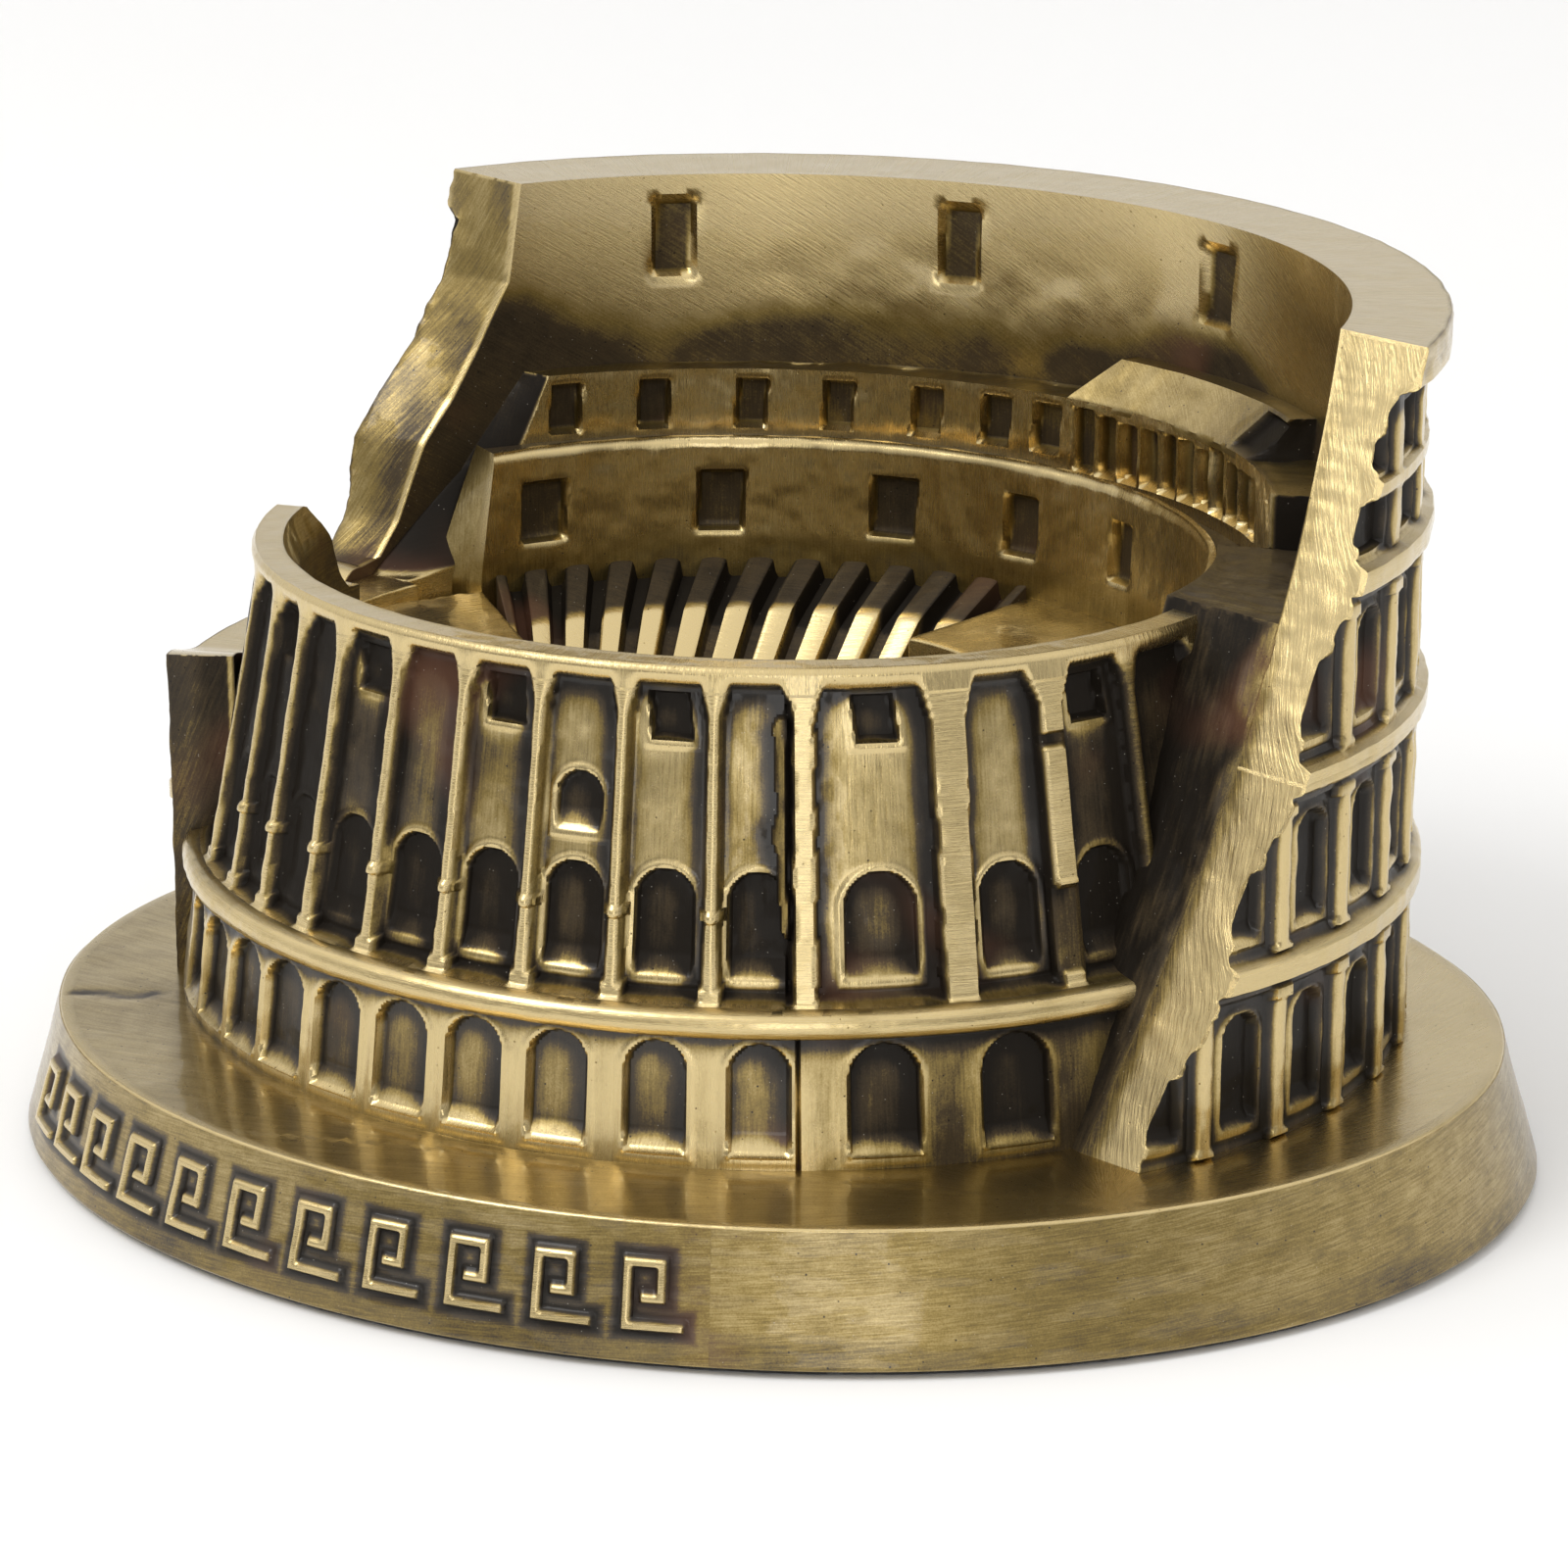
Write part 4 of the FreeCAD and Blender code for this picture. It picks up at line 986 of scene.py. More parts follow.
# ---- Inner ring wall, gallery and block ----
RING_ARC = (-17.0, 137.0)
GALLERY_ARC = (8.0, 128.0)
BLOCK_ARC = (25.0, 58.0)
BLOCK_NICHE = 27.5
RING_WINDOW_FOOT, RING_WINDOW_HEAD = 21.4, 25.1
RING_WINDOWS = (43.5, 62.5, 82.0, 105.9, 131.4)
# Half width, and foot and head above the ring wall's rim.
GALLERY_WINDOW = (0.88, 0.15, 3.1)
GALLERY_WINDOWS = (64.0, 71.0, 80.0, 91.0, 101.5, 113.4, 124.6)
SLOTS = tuple(58.5 - 3.6 * k for k in range(11))


def ring_drop(t):
    """How far the ledge behind the ring wall's rim lies below the rim, which grows towards the right."""
    return 0.35 + 1.3 * ease(56 - t, 50)


def ring_face(t, z):
    """The upright inner face of the ring wall, with five windows."""
    h = z - DECK
    s = arc_length(RING_INNER, t)
    sunk = 0.0 * h
    for angle in RING_WINDOWS:
        x = s - arc_length(RING_INNER, angle)
        half = 1.38 if angle > 70 else 1.1 if angle > 50 else 0.85
        inside = box_inside(x + 0.06 * (h - 23), h, half, RING_WINDOW_FOOT, RING_WINDOW_HEAD)
        sunk = sunk + np.where(np.abs(x) < 3, WINDOW_DEPTH * ease(inside, 0.4), 0)
    lean = 0.25 * ease(h - 20, 8)
    lumps = 0.05 * rough(s, z, 0, 1.8, 52)
    out = sunk + lean + lumps + 0.2 * ease(z - (RING_TOP - 0.35), 0.5) - 0.25
    near_window = np.clip(sunk / WINDOW_DEPTH, 0, 1) ** 3
    shade = ease(25.2 - h + 1.5 * noise(t / 9, 0, 0, 33), 4.5)
    middle_dark = band(t, 60, 125, 40)
    clouds = 0.8 + 0.2 * noise(t / 5, z / 4, 0, 35)
    dark = 0.26 * shade * (0.5 + 0.5 * middle_dark) * clouds + near_window + 0.5 * ease(21.0 - h, 2.5)
    rim = ease(z - (RING_TOP - 0.5), 0.5)
    wear_and_highlight = 0.95 + 0.1 * rim + 0.1 * noise(t / 8, z / 6, 0, 31)
    return place_on(RING_INNER, t, z, out), tone_of(wear_and_highlight, 0.12, dark * (1 - rim)), triple(z, s, 0)


def plain_face(oval, out, *tone):
    """A smooth face that mostly lies against a neighbour. out moves it along its outward normal."""
    def face(t, z):
        return place_on(oval, t, z, out), tone_of(*tone), triple(arc_length(oval, t), z, 0)
    return face


BURIED_BACK = plain_face(TALL_INNER, 0.1, 0.5, 0.1, 0.4)


def build_ring_wall():
    """The wall around the arena: an inner face with windows, a bright rim, and a sunk ledge behind."""
    step = 0.22
    shell = Shell()
    columns = angles_by_arc(RING_INNER, RING_ARC[0], RING_ARC[1] + 6, step, THIN)
    levels = levels_by(((DECK, 2.0), (DECK + 18, step), (RING_TOP - 0.3, 0.1), (RING_TOP, 0.1)))
    grid_t, grid_z = np.meshgrid(columns, levels)
    spread = np.clip((RING_TOP - grid_z) / 8.0, 0, 1)
    upright, tone, flow = ring_face(np.minimum(grid_t, RING_ARC[1] + 2.2 + 3.0 * spread), grid_z)
    face = shell.add(upright, tone, flow)
    shell.quads(face)
    inner_x, inner_y = upright[-1, :, 0], upright[-1, :, 1]
    ox, oy, _, _ = oval_point(RING_OUTER, np.minimum(columns, RING_ARC[1]))
    across = np.array([0.06, 0.12, 0.18, 0.24, 0.3, 0.4, 0.55, 0.75, 1.0])
    drop = ring_drop(columns)[None, :] * ease(across - 0.2, 0.16)[:, None]
    x = inner_x[None] * (1 - across[:, None]) + ox[None] * across[:, None]
    y = inner_y[None] * (1 - across[:, None]) + oy[None] * across[:, None]
    z = RING_TOP - drop + 0.03 * rough(x, y, 0, 1.5, 55)
    s = arc_length(RING_INNER, columns)[None] + 0 * x
    lip = ease(0.22 - across, 0.1)[:, None] + 0 * x
    top = shell.add(triple(x, y, z), tone_of(0.55 + 0.4 * lip, 0.3, 0.5 - 0.5 * lip), triple(s, x, y))
    shell.quads(np.concatenate([face[-1][None], top]))
    foot_x, foot_y, _, _ = oval_point(RING_OUTER, np.minimum(columns, RING_ARC[1] + 5))
    foot = triple(foot_x, foot_y, DECK)
    outer = shell.add(foot, tone_of(0.5, 0, 0.5), triple(s[-1], x[-1], y[-1]))
    shell.quads(np.stack([top[-1], outer]))
    shell.quads(np.stack([outer, face[0]]))
    shell.fill(list(face[:, 0]) + list(top[:, 0]) + [outer[0]])
    rear_t = RING_ARC[1] + 7.0 * np.clip((RING_TOP - levels) / 8.0, 0, 1)
    rear_x, rear_y, _, _ = oval_point(RING_OUTER, rear_t)
    rear = triple(rear_x, rear_y, levels)
    strip = [face[:, -1]]
    for part in (0.25, 0.5, 0.75, 1.0):
        points = upright[:, -1] * (1 - part) + rear * part
        run = triple(points[:, 2], points[:, 0], points[:, 1])
        strip.append(shell.add(points, tone_of(0.66, 0.3, 0.22), run))
    shell.quads(np.array(strip).T)
    shell.mesh("inner_ring_casting", "inner_ring_wall", BRASS)


build_ring_wall()


def gallery_face(t, z):
    """The front of the upper gallery: square windows, then a row of narrow slots."""
    h = z - RING_TOP
    s = arc_length(RING_OUTER, t)
    sunk = 0.0 * h
    for angle in GALLERY_WINDOWS:
        x = s - arc_length(RING_OUTER, angle)
        inside = box_inside(x + 0.08 * (h - 1.6), h, *GALLERY_WINDOW)
        sunk = sunk + np.where(np.abs(x) < 2.5, 0.85 * ease(inside, 0.34), 0)
    for k, angle in enumerate(SLOTS):
        x = s - arc_length(RING_OUTER, angle)
        inside = box_inside(x, h, 0.62, -0.6, 3.0 + 0.25 * noise(k * 1.7, 0, 0, 63))
        sunk = sunk + np.where(np.abs(x) < 1.4, 0.95 * ease(inside, 0.34), 0)
    lumps = 0.04 * rough(s, z, 0, 1.6, 61)
    rim = ease(h - (GALLERY_TOP - RING_TOP - 0.3), 0.35)
    near_window = np.clip(sunk / 0.85, 0, 1) ** 3
    left = ease(t - 112, 10)
    dark = 0.05 + 0.8 * near_window + 0.12 * left + 0.12 * noise(t / 4, z / 2, 0, 64)
    dark = dark - 0.2 * ease(64 - t, 4) * (1 - near_window)
    tone = tone_of(0.9 + 0.2 * rim, 0.15, np.clip(dark, 0, 1) * (1 - rim))
    return place_on(RING_OUTER, t, z, sunk + lumps), tone, triple(z, s, 0)


def gallery_ends(high, run):
    """The gallery's left end, which slopes down by a run of angle. high is its angle at the top."""
    def ends(z):
        return GALLERY_ARC[0], high + run * np.clip((GALLERY_TOP - z) / 4.0, 0, 1.5)
    return ends


def build_gallery():
    step = 0.2
    start, end = GALLERY_ARC
    stops = (DECK, 3.0), (RING_TOP - 3.0, step), (GALLERY_TOP, step)
    ends = gallery_ends(end - 1.2, 3.6), gallery_ends(end + 2.0, 6.0)
    cast_wall("gallery_casting", "upper_gallery_wall", RING_OUTER, (start, end + 12), stops, step,
              (gallery_face, BURIED_BACK), ends, steps=10, cap_rough=0.04, cap_tone=plain_cap,
              top_rough=0.22, rim_tone=(0.66, 0.35, 0.3))


build_gallery()


def block_share(z):
    """0 at the block's foot and 1 at its top."""
    return np.clip((z - GALLERY_TOP) / (BLOCK_TOP - GALLERY_TOP), 0, 1)


def block_face(t, z):
    """The sloping front of the raised block, lit and rubbed bright."""
    oval = blend_ovals(RING_OUTER, BLOCK_FRONT_TOP, block_share(z))
    s = arc_length(RING_OUTER, t)
    lumps = 0.05 * rough(s, z, 0, 1.8, 66)
    x = s - arc_length(RING_OUTER, BLOCK_NICHE)
    niche = 0.7 * ease(box_inside(x, z, 1.3, GALLERY_TOP + 0.2, BLOCK_TOP - 0.35), 0.4)
    dark = 0.75 * np.clip(niche / 0.7, 0, 1) + 0.3 * ease(34 - t, 8) + 0.12 * noise(t / 4, z, 0, 68)
    return place_on(oval, t, z, lumps + niche), tone_of(0.5, 0.2, dark), triple(s + z, z * 2 - s, 0)


def block_ends(z):
    return BLOCK_ARC[0], BLOCK_ARC[1] + 3.0 * (1 - block_share(z))


def build_block():
    step = 0.2
    start, end = BLOCK_ARC
    stops = (GALLERY_TOP - 0.4, step), (BLOCK_TOP, step)
    cast_wall("terrace_block_casting", "terrace_block", RING_OUTER, (start, end + 3), stops, step,
              (block_face, BURIED_BACK), (block_ends, block_ends), steps=8, cap_rough=0.06,
              cap_tone=plain_cap, top_rough=0.06, rim_tone=(0.6, 0.3, 0.35))


build_block()


# ---- Solder fill at the right end, and the broken slope at the left end ----
FILL_RIGHT = 8.0


FILL_SINK = 0.15
FILL_CUT_OUT = right_end((TALL_INNER[0] + FILL_SINK, TALL_INNER[1] + FILL_SINK) + TALL_INNER[2:], no_relief)
FILL_CUT_IN = right_end(LOW_INNER, no_relief)


def fill_ends(found):
    def ends(z):
        return np.interp(z, found[0], found[1]), FILL_RIGHT
    return ends


def fill_cap(points, side):
    """Dark filed solder with upright grooves, which brightens towards the tall wall."""
    z = points[..., 2]
    across = np.linspace(0, 1, points.shape[1])[None, :]
    mottle = 0.25 * noise(points[..., 0] / 1.5, points[..., 1] / 1.5, z / 3, 16)
    dark = 0.42 + 0.8 * ease(across - 0.1 + mottle, 0.28) + 0.2 * ease(20 - z, 6) - 0.2 * ease(z - 31, 5)
    return tone_of(0.6 + mottle, 1.0, dark)


def build_fill():
    step = 0.25
    faces = plain_face(TALL_INNER, FILL_SINK, 0.6, 0.5, 0.4), plain_face(LOW_INNER, 0.0, 0.6, 0.4, 0.5)
    ends = fill_ends(FILL_CUT_OUT), fill_ends(FILL_CUT_IN)
    stops = (DECK, step), (SOLDER_TOP, step)
    cast_wall("solder_fill_casting", "right_end_solder_fill", TALL_INNER, (-50.0, FILL_RIGHT), stops, step,
              faces, ends, "bare_solder", steps=26, cap_rough=0.07, cap_tone=fill_cap, top_rough=0.25,
              rim_tone=(0.6, 0.8, 0.55), cap_lean=0.04)


build_fill()


RAMP_ARC = (128.0, 152.0)
RAMP_FOOT = DECK + 20.0


def mottled(wear_and_highlight, grind, dark, seed):
    """A tone for tops and sides with cloudy patina."""
    def tone(x, y, z, t=None, share=None):
        cloud_here = noise(np.asarray(x) / 2.2, np.asarray(y) / 2.2, np.asarray(z) / 2.2, seed)
        return tone_of(wear_and_highlight + 0.12 * cloud_here, grind, dark + 0.2 * cloud_here)
    return tone


def flat_top(level, seed):
    def top(t, share, x, y):
        return level + 0.03 * rough(x, y, 0, 1.6, seed)
    return top


RAMP_INNER = (27.7, 23.4, -1.6, 2.9)


def ramp_top(t, share, x, y):
    """The slope falls from the gallery's end to the landing, and from the tall wall towards the arena."""
    along = np.clip((t - RAMP_ARC[0]) / (RAMP_ARC[1] - RAMP_ARC[0]), 0, 1)
    high = GALLERY_TOP - 0.6 - (GALLERY_TOP - 0.4 - RAMP_FOOT) * along ** 0.9
    fall = (1 - share) * (1 - along) * 8.5
    seam = ease(0.045 - np.abs(share - 0.62), 0.05) * ease(0.8 - along, 0.1)
    return np.maximum(high - fall, RAMP_FOOT) + 0.03 * rough(x, y, 0, 1.3, 83) + 0.12 * seam


# The slope is painted dark as shade in its valley, with a painted reflection lightening its low end and a
# bright line along the seam.
def ramp_tone(x, y, z, t, share):
    low_end = ease(RAMP_FOOT + 0.25 - z, 0.4)
    seam = ease(0.035 - np.abs(share - 0.62), 0.03)
    return tone_of(0.45 + 0.35 * low_end + 0.5 * seam, 0.1, 1.0 - 0.9 * low_end - 0.5 * seam)


def build_ramp():
    shell = Shell()
    polar_block(shell, RAMP_INNER, TALL_INNER, RAMP_ARC, DECK, ramp_top, ramp_tone, 0.3, 0.2, 30)
    shell.mesh("left_end_slope", "left_end_ramp", BRASS)


build_ramp()


# ---- Seating ----
BACK_ARC = (61.0, 139.5)
FRONT_ARC = (205.0, 343.0)
RIB_PITCH = 6.4
FOOT_LEVEL = DECK + 12.6
KINK_LEVEL = DECK + 17.6


def seat_top(arc, outer):
    """Two slopes with radial ribs between grooves."""
    count = int((arc[1] - arc[0]) / RIB_PITCH)
    pitch = (arc[1] - arc[0]) / count
    foot = (BOWL_FOOT[0] - ARENA[0]) / (outer[0] - ARENA[0])
    kink = (BOWL_KINK[0] - ARENA[0]) / (outer[0] - ARENA[0])

    def top(t, share, x, y):
        slope = np.interp(share, (0, foot, kink, 1), (ARENA_TOP, FOOT_LEVEL, KINK_LEVEL, BOWL_TOP))
        turn = ((t - arc[0]) / pitch) % 1.0
        radius = ARENA[0] + (outer[0] - ARENA[0]) * share
        gap = np.abs(turn - 0.5) * np.radians(pitch) * radius
        groove = 1.2 * ease(0.0215 * radius - gap, 0.24) * ease(share - foot * 0.6, 0.08)
        from_edge = np.minimum(np.abs(turn), np.abs(turn - 1)) * np.radians(pitch) * radius
        rounded = 0.16 * (1 - dome(from_edge, 0.8))
        return slope - groove - rounded * (1 - groove)
    return top


def seat_tone(arc, outer):
    """Ribs are dark above the kink and carry a painted highlight just below it. Grooves are darkest."""
    count = int((arc[1] - arc[0]) / RIB_PITCH)
    kink = (BOWL_KINK[0] - ARENA[0]) / (outer[0] - ARENA[0])

    def tone(x, y, z, t, share):
        turn = ((t - arc[0]) / ((arc[1] - arc[0]) / count)) % 1.0
        groove = ease(0.22 - np.abs(turn - 0.5), 0.08)
        # A painted highlight on the ribs just below the kink.
        below = band(share, kink - 0.33, kink + 0.02, 0.1)
        upper = ease(share - kink - 0.04, 0.08)
        dark = 0.35 + 0.75 * groove + 0.25 * upper - 0.35 * below
        return tone_of(0.55 + 0.45 * below - 0.3 * groove, 0.2, dark)
    return tone


def build_seats():
    step = 0.13
    for name, node_name, arc, inner_arc, outer in (
        ("ribbed_seating_back", "seating_bank_back", BACK_ARC, (61.0, 170.0), RING_INNER),
        ("ribbed_seating_front", "seating_bank_front", FRONT_ARC, FRONT_ARC, LOW_INNER),
    ):
        shell = Shell()
        top, tone = seat_top(arc, outer), seat_tone(arc, outer)
        polar_block(shell, ARENA, outer, arc, DECK, top, tone, step, 0.1, inner_arc=inner_arc)
        shell.mesh(name, node_name, BRASS)


build_seats()


# ---- Terraces, landings and arena ----
PLATE_CORNER = (-22.0, 15.5)


def behind_plate(x, y):
    """How far a point of the left landing lies behind the edge of its front plate."""
    return ((y - PLATE_CORNER[1]) * 5 - (x - PLATE_CORNER[0]) * 4) / 6.4


def landing_top(t, share, x, y):
    return flat_top(LEFT_LANDING_TOP - 0.05, 92)(t, share, x, y) - 0.55 * ease(behind_plate(x, y), 0.22)


def landing_tone(x, y, z, t=None, share=None):
    behind = behind_plate(x, y)
    cloud_here = 0.12 * noise(x / 2.2, y / 2.2, z / 2.2, 92)
    edge = band(behind, -0.5, 0.05, 0.2)
    return tone_of(0.85 + cloud_here + 0.3 * edge, 0.3, 0.1 + 0.12 * ease(behind - 0.1, 0.5) + cloud_here)


def build_flats():
    shell = Shell()
    arc, inner_arc = (139.5, 205.0), (170.0, 205.0)
    polar_block(shell, ARENA, LOW_INNER, arc, DECK, landing_top, landing_tone, 0.25, 0.2, 40, inner_arc)
    shell.mesh("left_landing_casting", "left_landing", BRASS)
    terrace = ("right_terrace_casting", "right_terrace", ARENA, RING_INNER, (-17.0, 61.0))
    landing = ("outer_landing_casting", "left_outer_landing", LOW_INNER, TALL_INNER, (150.0, 180.0))
    for (name, node_name, inner, outer, arc), level, seed, dark in (
        (terrace, RIGHT_TERRACE_TOP, 91, 0.12),
        (landing, OUTER_LANDING_TOP, 93, 0.1),
    ):
        shell = Shell()
        top, tone = flat_top(level - 0.05, seed), mottled(0.8, 0.3, dark, seed)
        polar_block(shell, inner, outer, arc, DECK, top, tone, 0.4, 0.2, 40)
        shell.mesh(name, node_name, BRASS)


build_flats()


def build_arena():
    """The flat oval floor at the bottom of the bowl."""
    shell = Shell()
    angles = np.linspace(0, 360, 121)
    radii = np.concatenate([np.linspace(0.02, 0.97, 36), [0.985, 0.995, 1.0]])
    grid_t, grid_r = np.meshgrid(np.radians(angles), radii)
    x = ARENA[2] + ARENA[0] * grid_r * np.cos(grid_t)
    y = ARENA[3] + ARENA[1] * grid_r * np.sin(grid_t)
    uneven = 0.06 * rough(x, y, 0, 2.2, 95, 3) * ease(0.96 - grid_r, 0.06)
    z = ARENA_TOP + uneven - 0.25 * ease(grid_r - 0.985, 0.03) - 0.06
    top = shell.add(triple(x, y, z), mottled(0.5, 0.2, 0.4, 96)(x, y, z), triple(x, y, z))
    shell.quads(top)
    shell.fill(top[0][:-1])
    low = triple(x[-1], y[-1], DECK)
    foot = shell.add(low, tone_of(0.4, 0, 0.6), low)
    shell.quads(np.stack([top[-1], foot]))
    shell.fill(foot[:-1])
    shell.mesh("arena_casting", "arena_floor", BRASS)


build_arena()


# ---- Plinth and pad ----
ON_DECK, ON_EDGE, ON_SIDE, BENEATH = range(4)
PLAIN_STEP = 0.7
KEY_STEP = 0.13
KEY_ARC = (205.0, 271.0)
KEY_COUNT = 11
KEY_WIDE, KEY_TALL, KEY_STROKE = 3.4, 3.9, 0.5
SIDE_MID = blend_ovals(PLINTH_FOOT, PLINTH_EDGE, 0.5)
KEY_LOW = (DECK - PLINTH_LOW - KEY_TALL) / 2


def key_relief(s, up):
    """The running key border: each unit a frame open at one side, with a hooked end inside."""
    stroke, half = KEY_STROKE, KEY_WIDE / 2
    bars = (
        (-half, 0, KEY_WIDE, stroke),
        (-half, 0, stroke, KEY_TALL),
        (-half, KEY_TALL - stroke, KEY_WIDE - 2 * stroke, stroke),
        (half - 3 * stroke, 3 * stroke, stroke, KEY_TALL - 3 * stroke),
        (-half + 2 * stroke, 3 * stroke, KEY_WIDE - 4 * stroke, stroke),
    )
    inside = np.full(s.shape, -9.0)
    for k in range(KEY_COUNT):
        angle = KEY_ARC[0] + (KEY_ARC[1] - KEY_ARC[0]) * k / (KEY_COUNT - 1)
        x = s - arc_length(SIDE_MID, angle)
        y = up - KEY_LOW
        near = np.abs(x) < KEY_WIDE
        for left, low, wide, tall in bars:
            bar = np.minimum(np.minimum(x - left, left + wide - x), np.minimum(y - low, low + tall - y))
            inside = np.where(near, np.maximum(inside, bar), inside)
    return inside


def build_plinth():
    start, end = KEY_ARC[0] - 4, KEY_ARC[1] + 4
    columns = np.concatenate([
        angles_by_arc(SIDE_MID, end - 360, start, PLAIN_STEP),
        angles_by_arc(SIDE_MID, start, end, KEY_STEP)[1:],
    ])
    height = DECK - PLINTH_LOW
    radius = 0.22
    shares = np.concatenate([[0.2, 0.5, 0.62], np.linspace(0.68, 1, 24)[:-1]])
    rows = []
    for share in shares:
        rows.append((share * (PLINTH_EDGE[0] - radius), share * (PLINTH_EDGE[1] - radius), DECK, ON_DECK))

    def side_row(share, inset, level, kind):
        """A row at a share of the way from the plinth's upper edge to its foot."""
        oval = blend_ovals(PLINTH_EDGE, PLINTH_FOOT, share)
        rows.append((oval[0] - inset, oval[1] - inset, level, kind))

    for turn in np.radians(np.linspace(10, 76, 5)):
        side_row(0, radius - radius * math.sin(turn), DECK - radius + radius * math.cos(turn), ON_EDGE)
    count = int(height / 0.14)
    for share in np.arange(1, count) / count:
        side_row(share, 0, DECK - height * share, ON_SIDE)
    for inset, level in ((0.12, 0), (0.7, 0), (0.75, 0.5)):
        side_row(1, inset, PLINTH_LOW + level, BENEATH)
    a, b, z, kind = np.array(rows).T[..., None]
    turn = np.radians(columns)[None, :]
    x, y = a * np.cos(turn), b * np.sin(turn)
    nx, ny = np.cos(turn) / a, np.sin(turn) / b
    length = np.hypot(nx, ny)
    nx, ny = nx / length, ny / length
    z = z + 0 * x
    s = arc_length(SIDE_MID, columns)[None, :] + 0 * x
    up = z - PLINTH_LOW
    inside = key_relief(s, up)
    on_side = (kind == ON_SIDE) + 0 * x
    raised = 0.42 * ease(inside + 0.02, 0.24) * on_side
    wave = 0.05 * rough(s / 2.5, up, 0, 2.2, 101) * on_side * ease(up, 1.5)
    seam_at = arc_length(SIDE_MID, 283.0)
    seam = ease(0.12 - np.abs(s - seam_at), 0.3)
    nick = 0.0 * s
    for k in range(5):
        at = arc_length(SIDE_MID, 305.0 + 1.7 * k)
        from_nick = s - at - 0.2 * noise(k * 2.3, 0, 0, 8)
        nick = nick + ease(0.35 - np.abs(from_nick), 0.3) * (0.5 + 0.5 * noise(k * 1.3, 1, 0, 9))
    nick = nick * band(up, height - 0.75, height + 0.3, 0.3) * (kind > ON_DECK)
    out = raised + wave - 0.08 * seam * on_side - 0.22 * nick
    crack_turn = np.degrees(np.arctan2(y / PLINTH_EDGE[1], x / PLINTH_EDGE[0])) % 360
    reach = np.hypot(x / PLINTH_EDGE[0], y / PLINTH_EDGE[1])
    from_crack = crack_turn - 191.0 - 3 * noise(reach * 9, 0, 0, 19)
    crack = ease(0.5 - np.abs(from_crack), 0.7) * band(reach, 0.86, 0.985, 0.02) * (kind == ON_DECK)
    z = (z - 0.12 * crack - 0.05 * seam * (kind == ON_DECK)
         + 0.02 * rough(x, y, 0, 3.0, 103) * (kind == ON_DECK))
    points = triple(x + nx * out, y + ny * out, z)
    near_key = ease(inside + 0.45, 0.8) * ease(0.0 - inside, 0.25) * on_side
    face = ease(inside - 0.02, 0.2) * on_side
    worn_deck = 0.32 * ease(x - 24, 16) * (kind == ON_DECK)
    wear_and_highlight = 0.55 - 0.13 * on_side + 0.55 * face + worn_deck + 0.25 * (kind == ON_EDGE)
    wear_and_highlight = wear_and_highlight - 0.35 * near_key - 0.4 * crack - 0.3 * seam
    dark = 0.45 * near_key + 0.12 * ease(1.6 - up, 1.5) * on_side + 0.1 * noise(s / 9, up / 4, 0, 105)
    dark = dark + 0.5 * crack + 0.3 * nick
    deck = (kind == ON_DECK) + 0 * x
    fan = np.degrees(np.arctan2(y + 26, x - 24))
    flow_deck = triple(np.hypot(x - 24, y + 26) * 0.6, fan * 0.5, z)
    flow_side = triple(s + 0.12 * up, up * 1.4 - 0.1 * s, out)
    flow = np.where(deck[..., None] > 0.5, flow_deck, flow_side)
    grind = 0.3 + 0.25 * on_side * (1 - face)
    shell = Shell()
    index = shell.add(points, tone_of(wear_and_highlight, grind, dark), flow)
    shell.quads(index)
    shell.fill(index[0][:-1])
    shell.fill(index[-1][:-1])
    shell.mesh("plinth_casting", "plinth", BRASS, 50.0)


build_plinth()


def build_pad():
    """A flat oval of felt with a slightly frayed edge."""
    shell = Shell()
    angles = np.linspace(0, 360, 721)
    inset = 0.6
    oval = (PLINTH_FOOT[0] - inset, PLINTH_FOOT[1] - inset, 0.0, 0.0)
    rows = ((-3.0, 0.02), (-0.25, 0.0), (-0.05, 0.1), (0.0, 0.35), (0.0, 0.7), (-0.06, PAD_TOP),
            (-3.0, PAD_TOP))
    grid = []
    for inward, level in rows:
        x, y, nx, ny = oval_point(oval, angles)
        fray = 0.05 * rough(x, y, level * 3 + 0 * x, 0.5, 111, 2) * (inward > -1) - 0.05
        grid.append(triple(x + nx * (inward + fray), y + ny * (inward + fray), level))
    points = np.array(grid)
    index = shell.add(points, tone_of(0.5, 0, 0), points)
    shell.quads(index)
    shell.fill(index[0][:-1])
    shell.fill(index[-1][:-1])
    pad = shell.mesh("felt_oval", "felt_pad", FLOCK)


build_pad()


# ---- Stage ----
def studio():
    """An even pale surround, darker low down in front, so that the brass shows its form."""
    world = bpy.data.worlds.new("studio")
    bpy.context.scene.world = world
    world.use_nodes = True
    tree = world.node_tree
    tree.nodes.clear()
    place = node(tree, "ShaderNodeTexCoord").outputs["Generated"]
    away = node(tree, "ShaderNodeSeparateXYZ", {0: place})
    high = ranged(tree, away.outputs[2], 0.05, 0.75)
    front = ranged(tree, away.outputs[1], 0.1, -0.75)
    low_front = sums(tree, "MULTIPLY", front, sums(tree, "SUBTRACT", 1.0, high))
    light = sums(tree, "MULTIPLY_ADD", low_front, -0.62, sums(tree, "MULTIPLY_ADD", high, 0.25, 0.9))
    shader = node(tree, "ShaderNodeBackground", {"Color": (1, 0.99, 0.975, 1), "Strength": light}).outputs[0]
    node(tree, "ShaderNodeOutputWorld", {"Surface": shader})


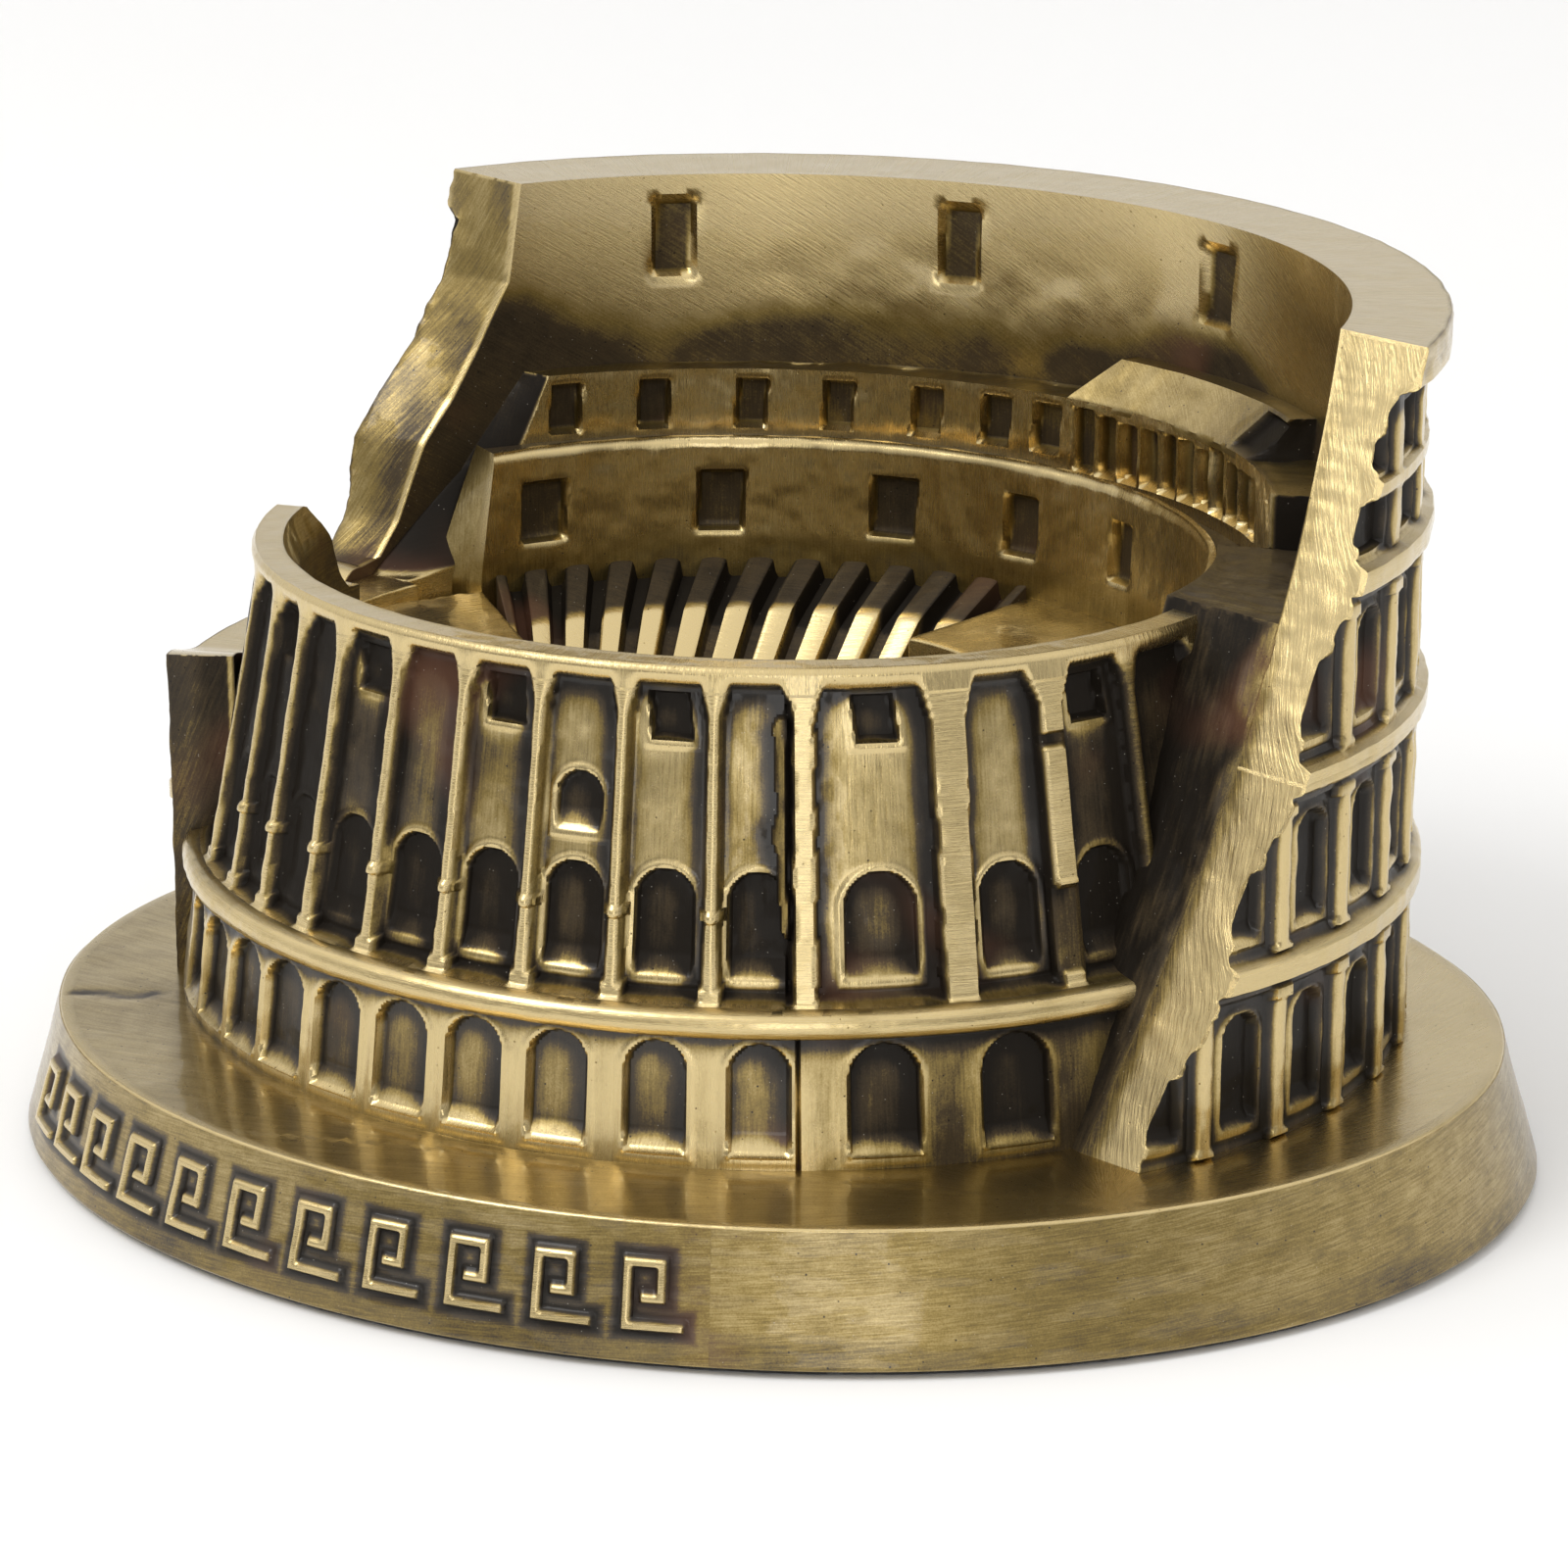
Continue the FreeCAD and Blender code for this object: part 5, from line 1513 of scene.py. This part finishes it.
def soft_light(name, place, aim, size, power):
    data = bpy.data.lights.new(name, "AREA")
    data.shape = "RECTANGLE"
    data.size, data.size_y = size
    data.energy = power
    lamp = show(name, data)
    lamp.location = place
    lamp.rotation_euler = (Vector(aim) - Vector(place)).to_track_quat("-Z", "Y").to_euler()


def floor():
    """A pale floor that bends up far behind the object."""
    material, tree = nodes_of("pale_floor")
    place = node(tree, "ShaderNodeTexCoord").outputs["Object"]
    mottle = cloud(tree, place, 3.0)
    colour = blend_colour(tree, mottle, (0.88, 0.88, 0.88, 1), (0.93, 0.93, 0.93, 1))
    finish(tree, {"Base Color": colour, "Roughness": 0.9})
    profile = [(-1.2, 0.0), (-0.6, 0.0), (0.0, 0.0), (0.4, 0.0), (0.6, 0.0), (0.9, 0.06), (1.1, 0.2),
               (1.2, 0.5), (1.2, 2.0)]
    points = [(x, y, z) for y, z in profile for x in (-2.0, -0.7, 0.7, 2.0)]
    faces = []
    for row in range(len(profile) - 1):
        for k in range(3):
            start = row * 4 + k
            faces.append((start, start + 1, start + 5, start + 4))
    data = bpy.data.meshes.new("sweep")
    data.from_pydata(points, [], faces)
    data.materials.append(material)
    data.shade_smooth()
    sweep = show("sweep", data)
    bend = sweep.modifiers.new("smooth bend", "SUBSURF")
    bend.levels = bend.render_levels = 3


CAMERA_AT = (0.06893, -0.31648, 0.13408)
CAMERA_LOOKS = (-0.1996, 0.9234, -0.328)
CAMERA_LENS = 135.23


def camera():
    """A long lens in front of the object, a little to the right and above."""
    data = bpy.data.cameras.new("camera")
    data.lens = CAMERA_LENS
    data.sensor_width = 36
    data.clip_start = 0.01
    seen = show("camera", data)
    seen.location = CAMERA_AT
    seen.rotation_euler = Vector(CAMERA_LOOKS).to_track_quat("-Z", "Y").to_euler()
    bpy.context.scene.camera = seen


studio()
floor()
camera()
soft_light("key", (-0.3, -0.3, 0.55), (0, 0, 0.02), (0.3, 0.3), 1.6)
soft_light("front_fill", (0.12, -0.6, 0.16), (0, 0, 0.03), (0.16, 0.3), 0.4)
bpy.context.scene.view_settings.view_transform = "Standard"

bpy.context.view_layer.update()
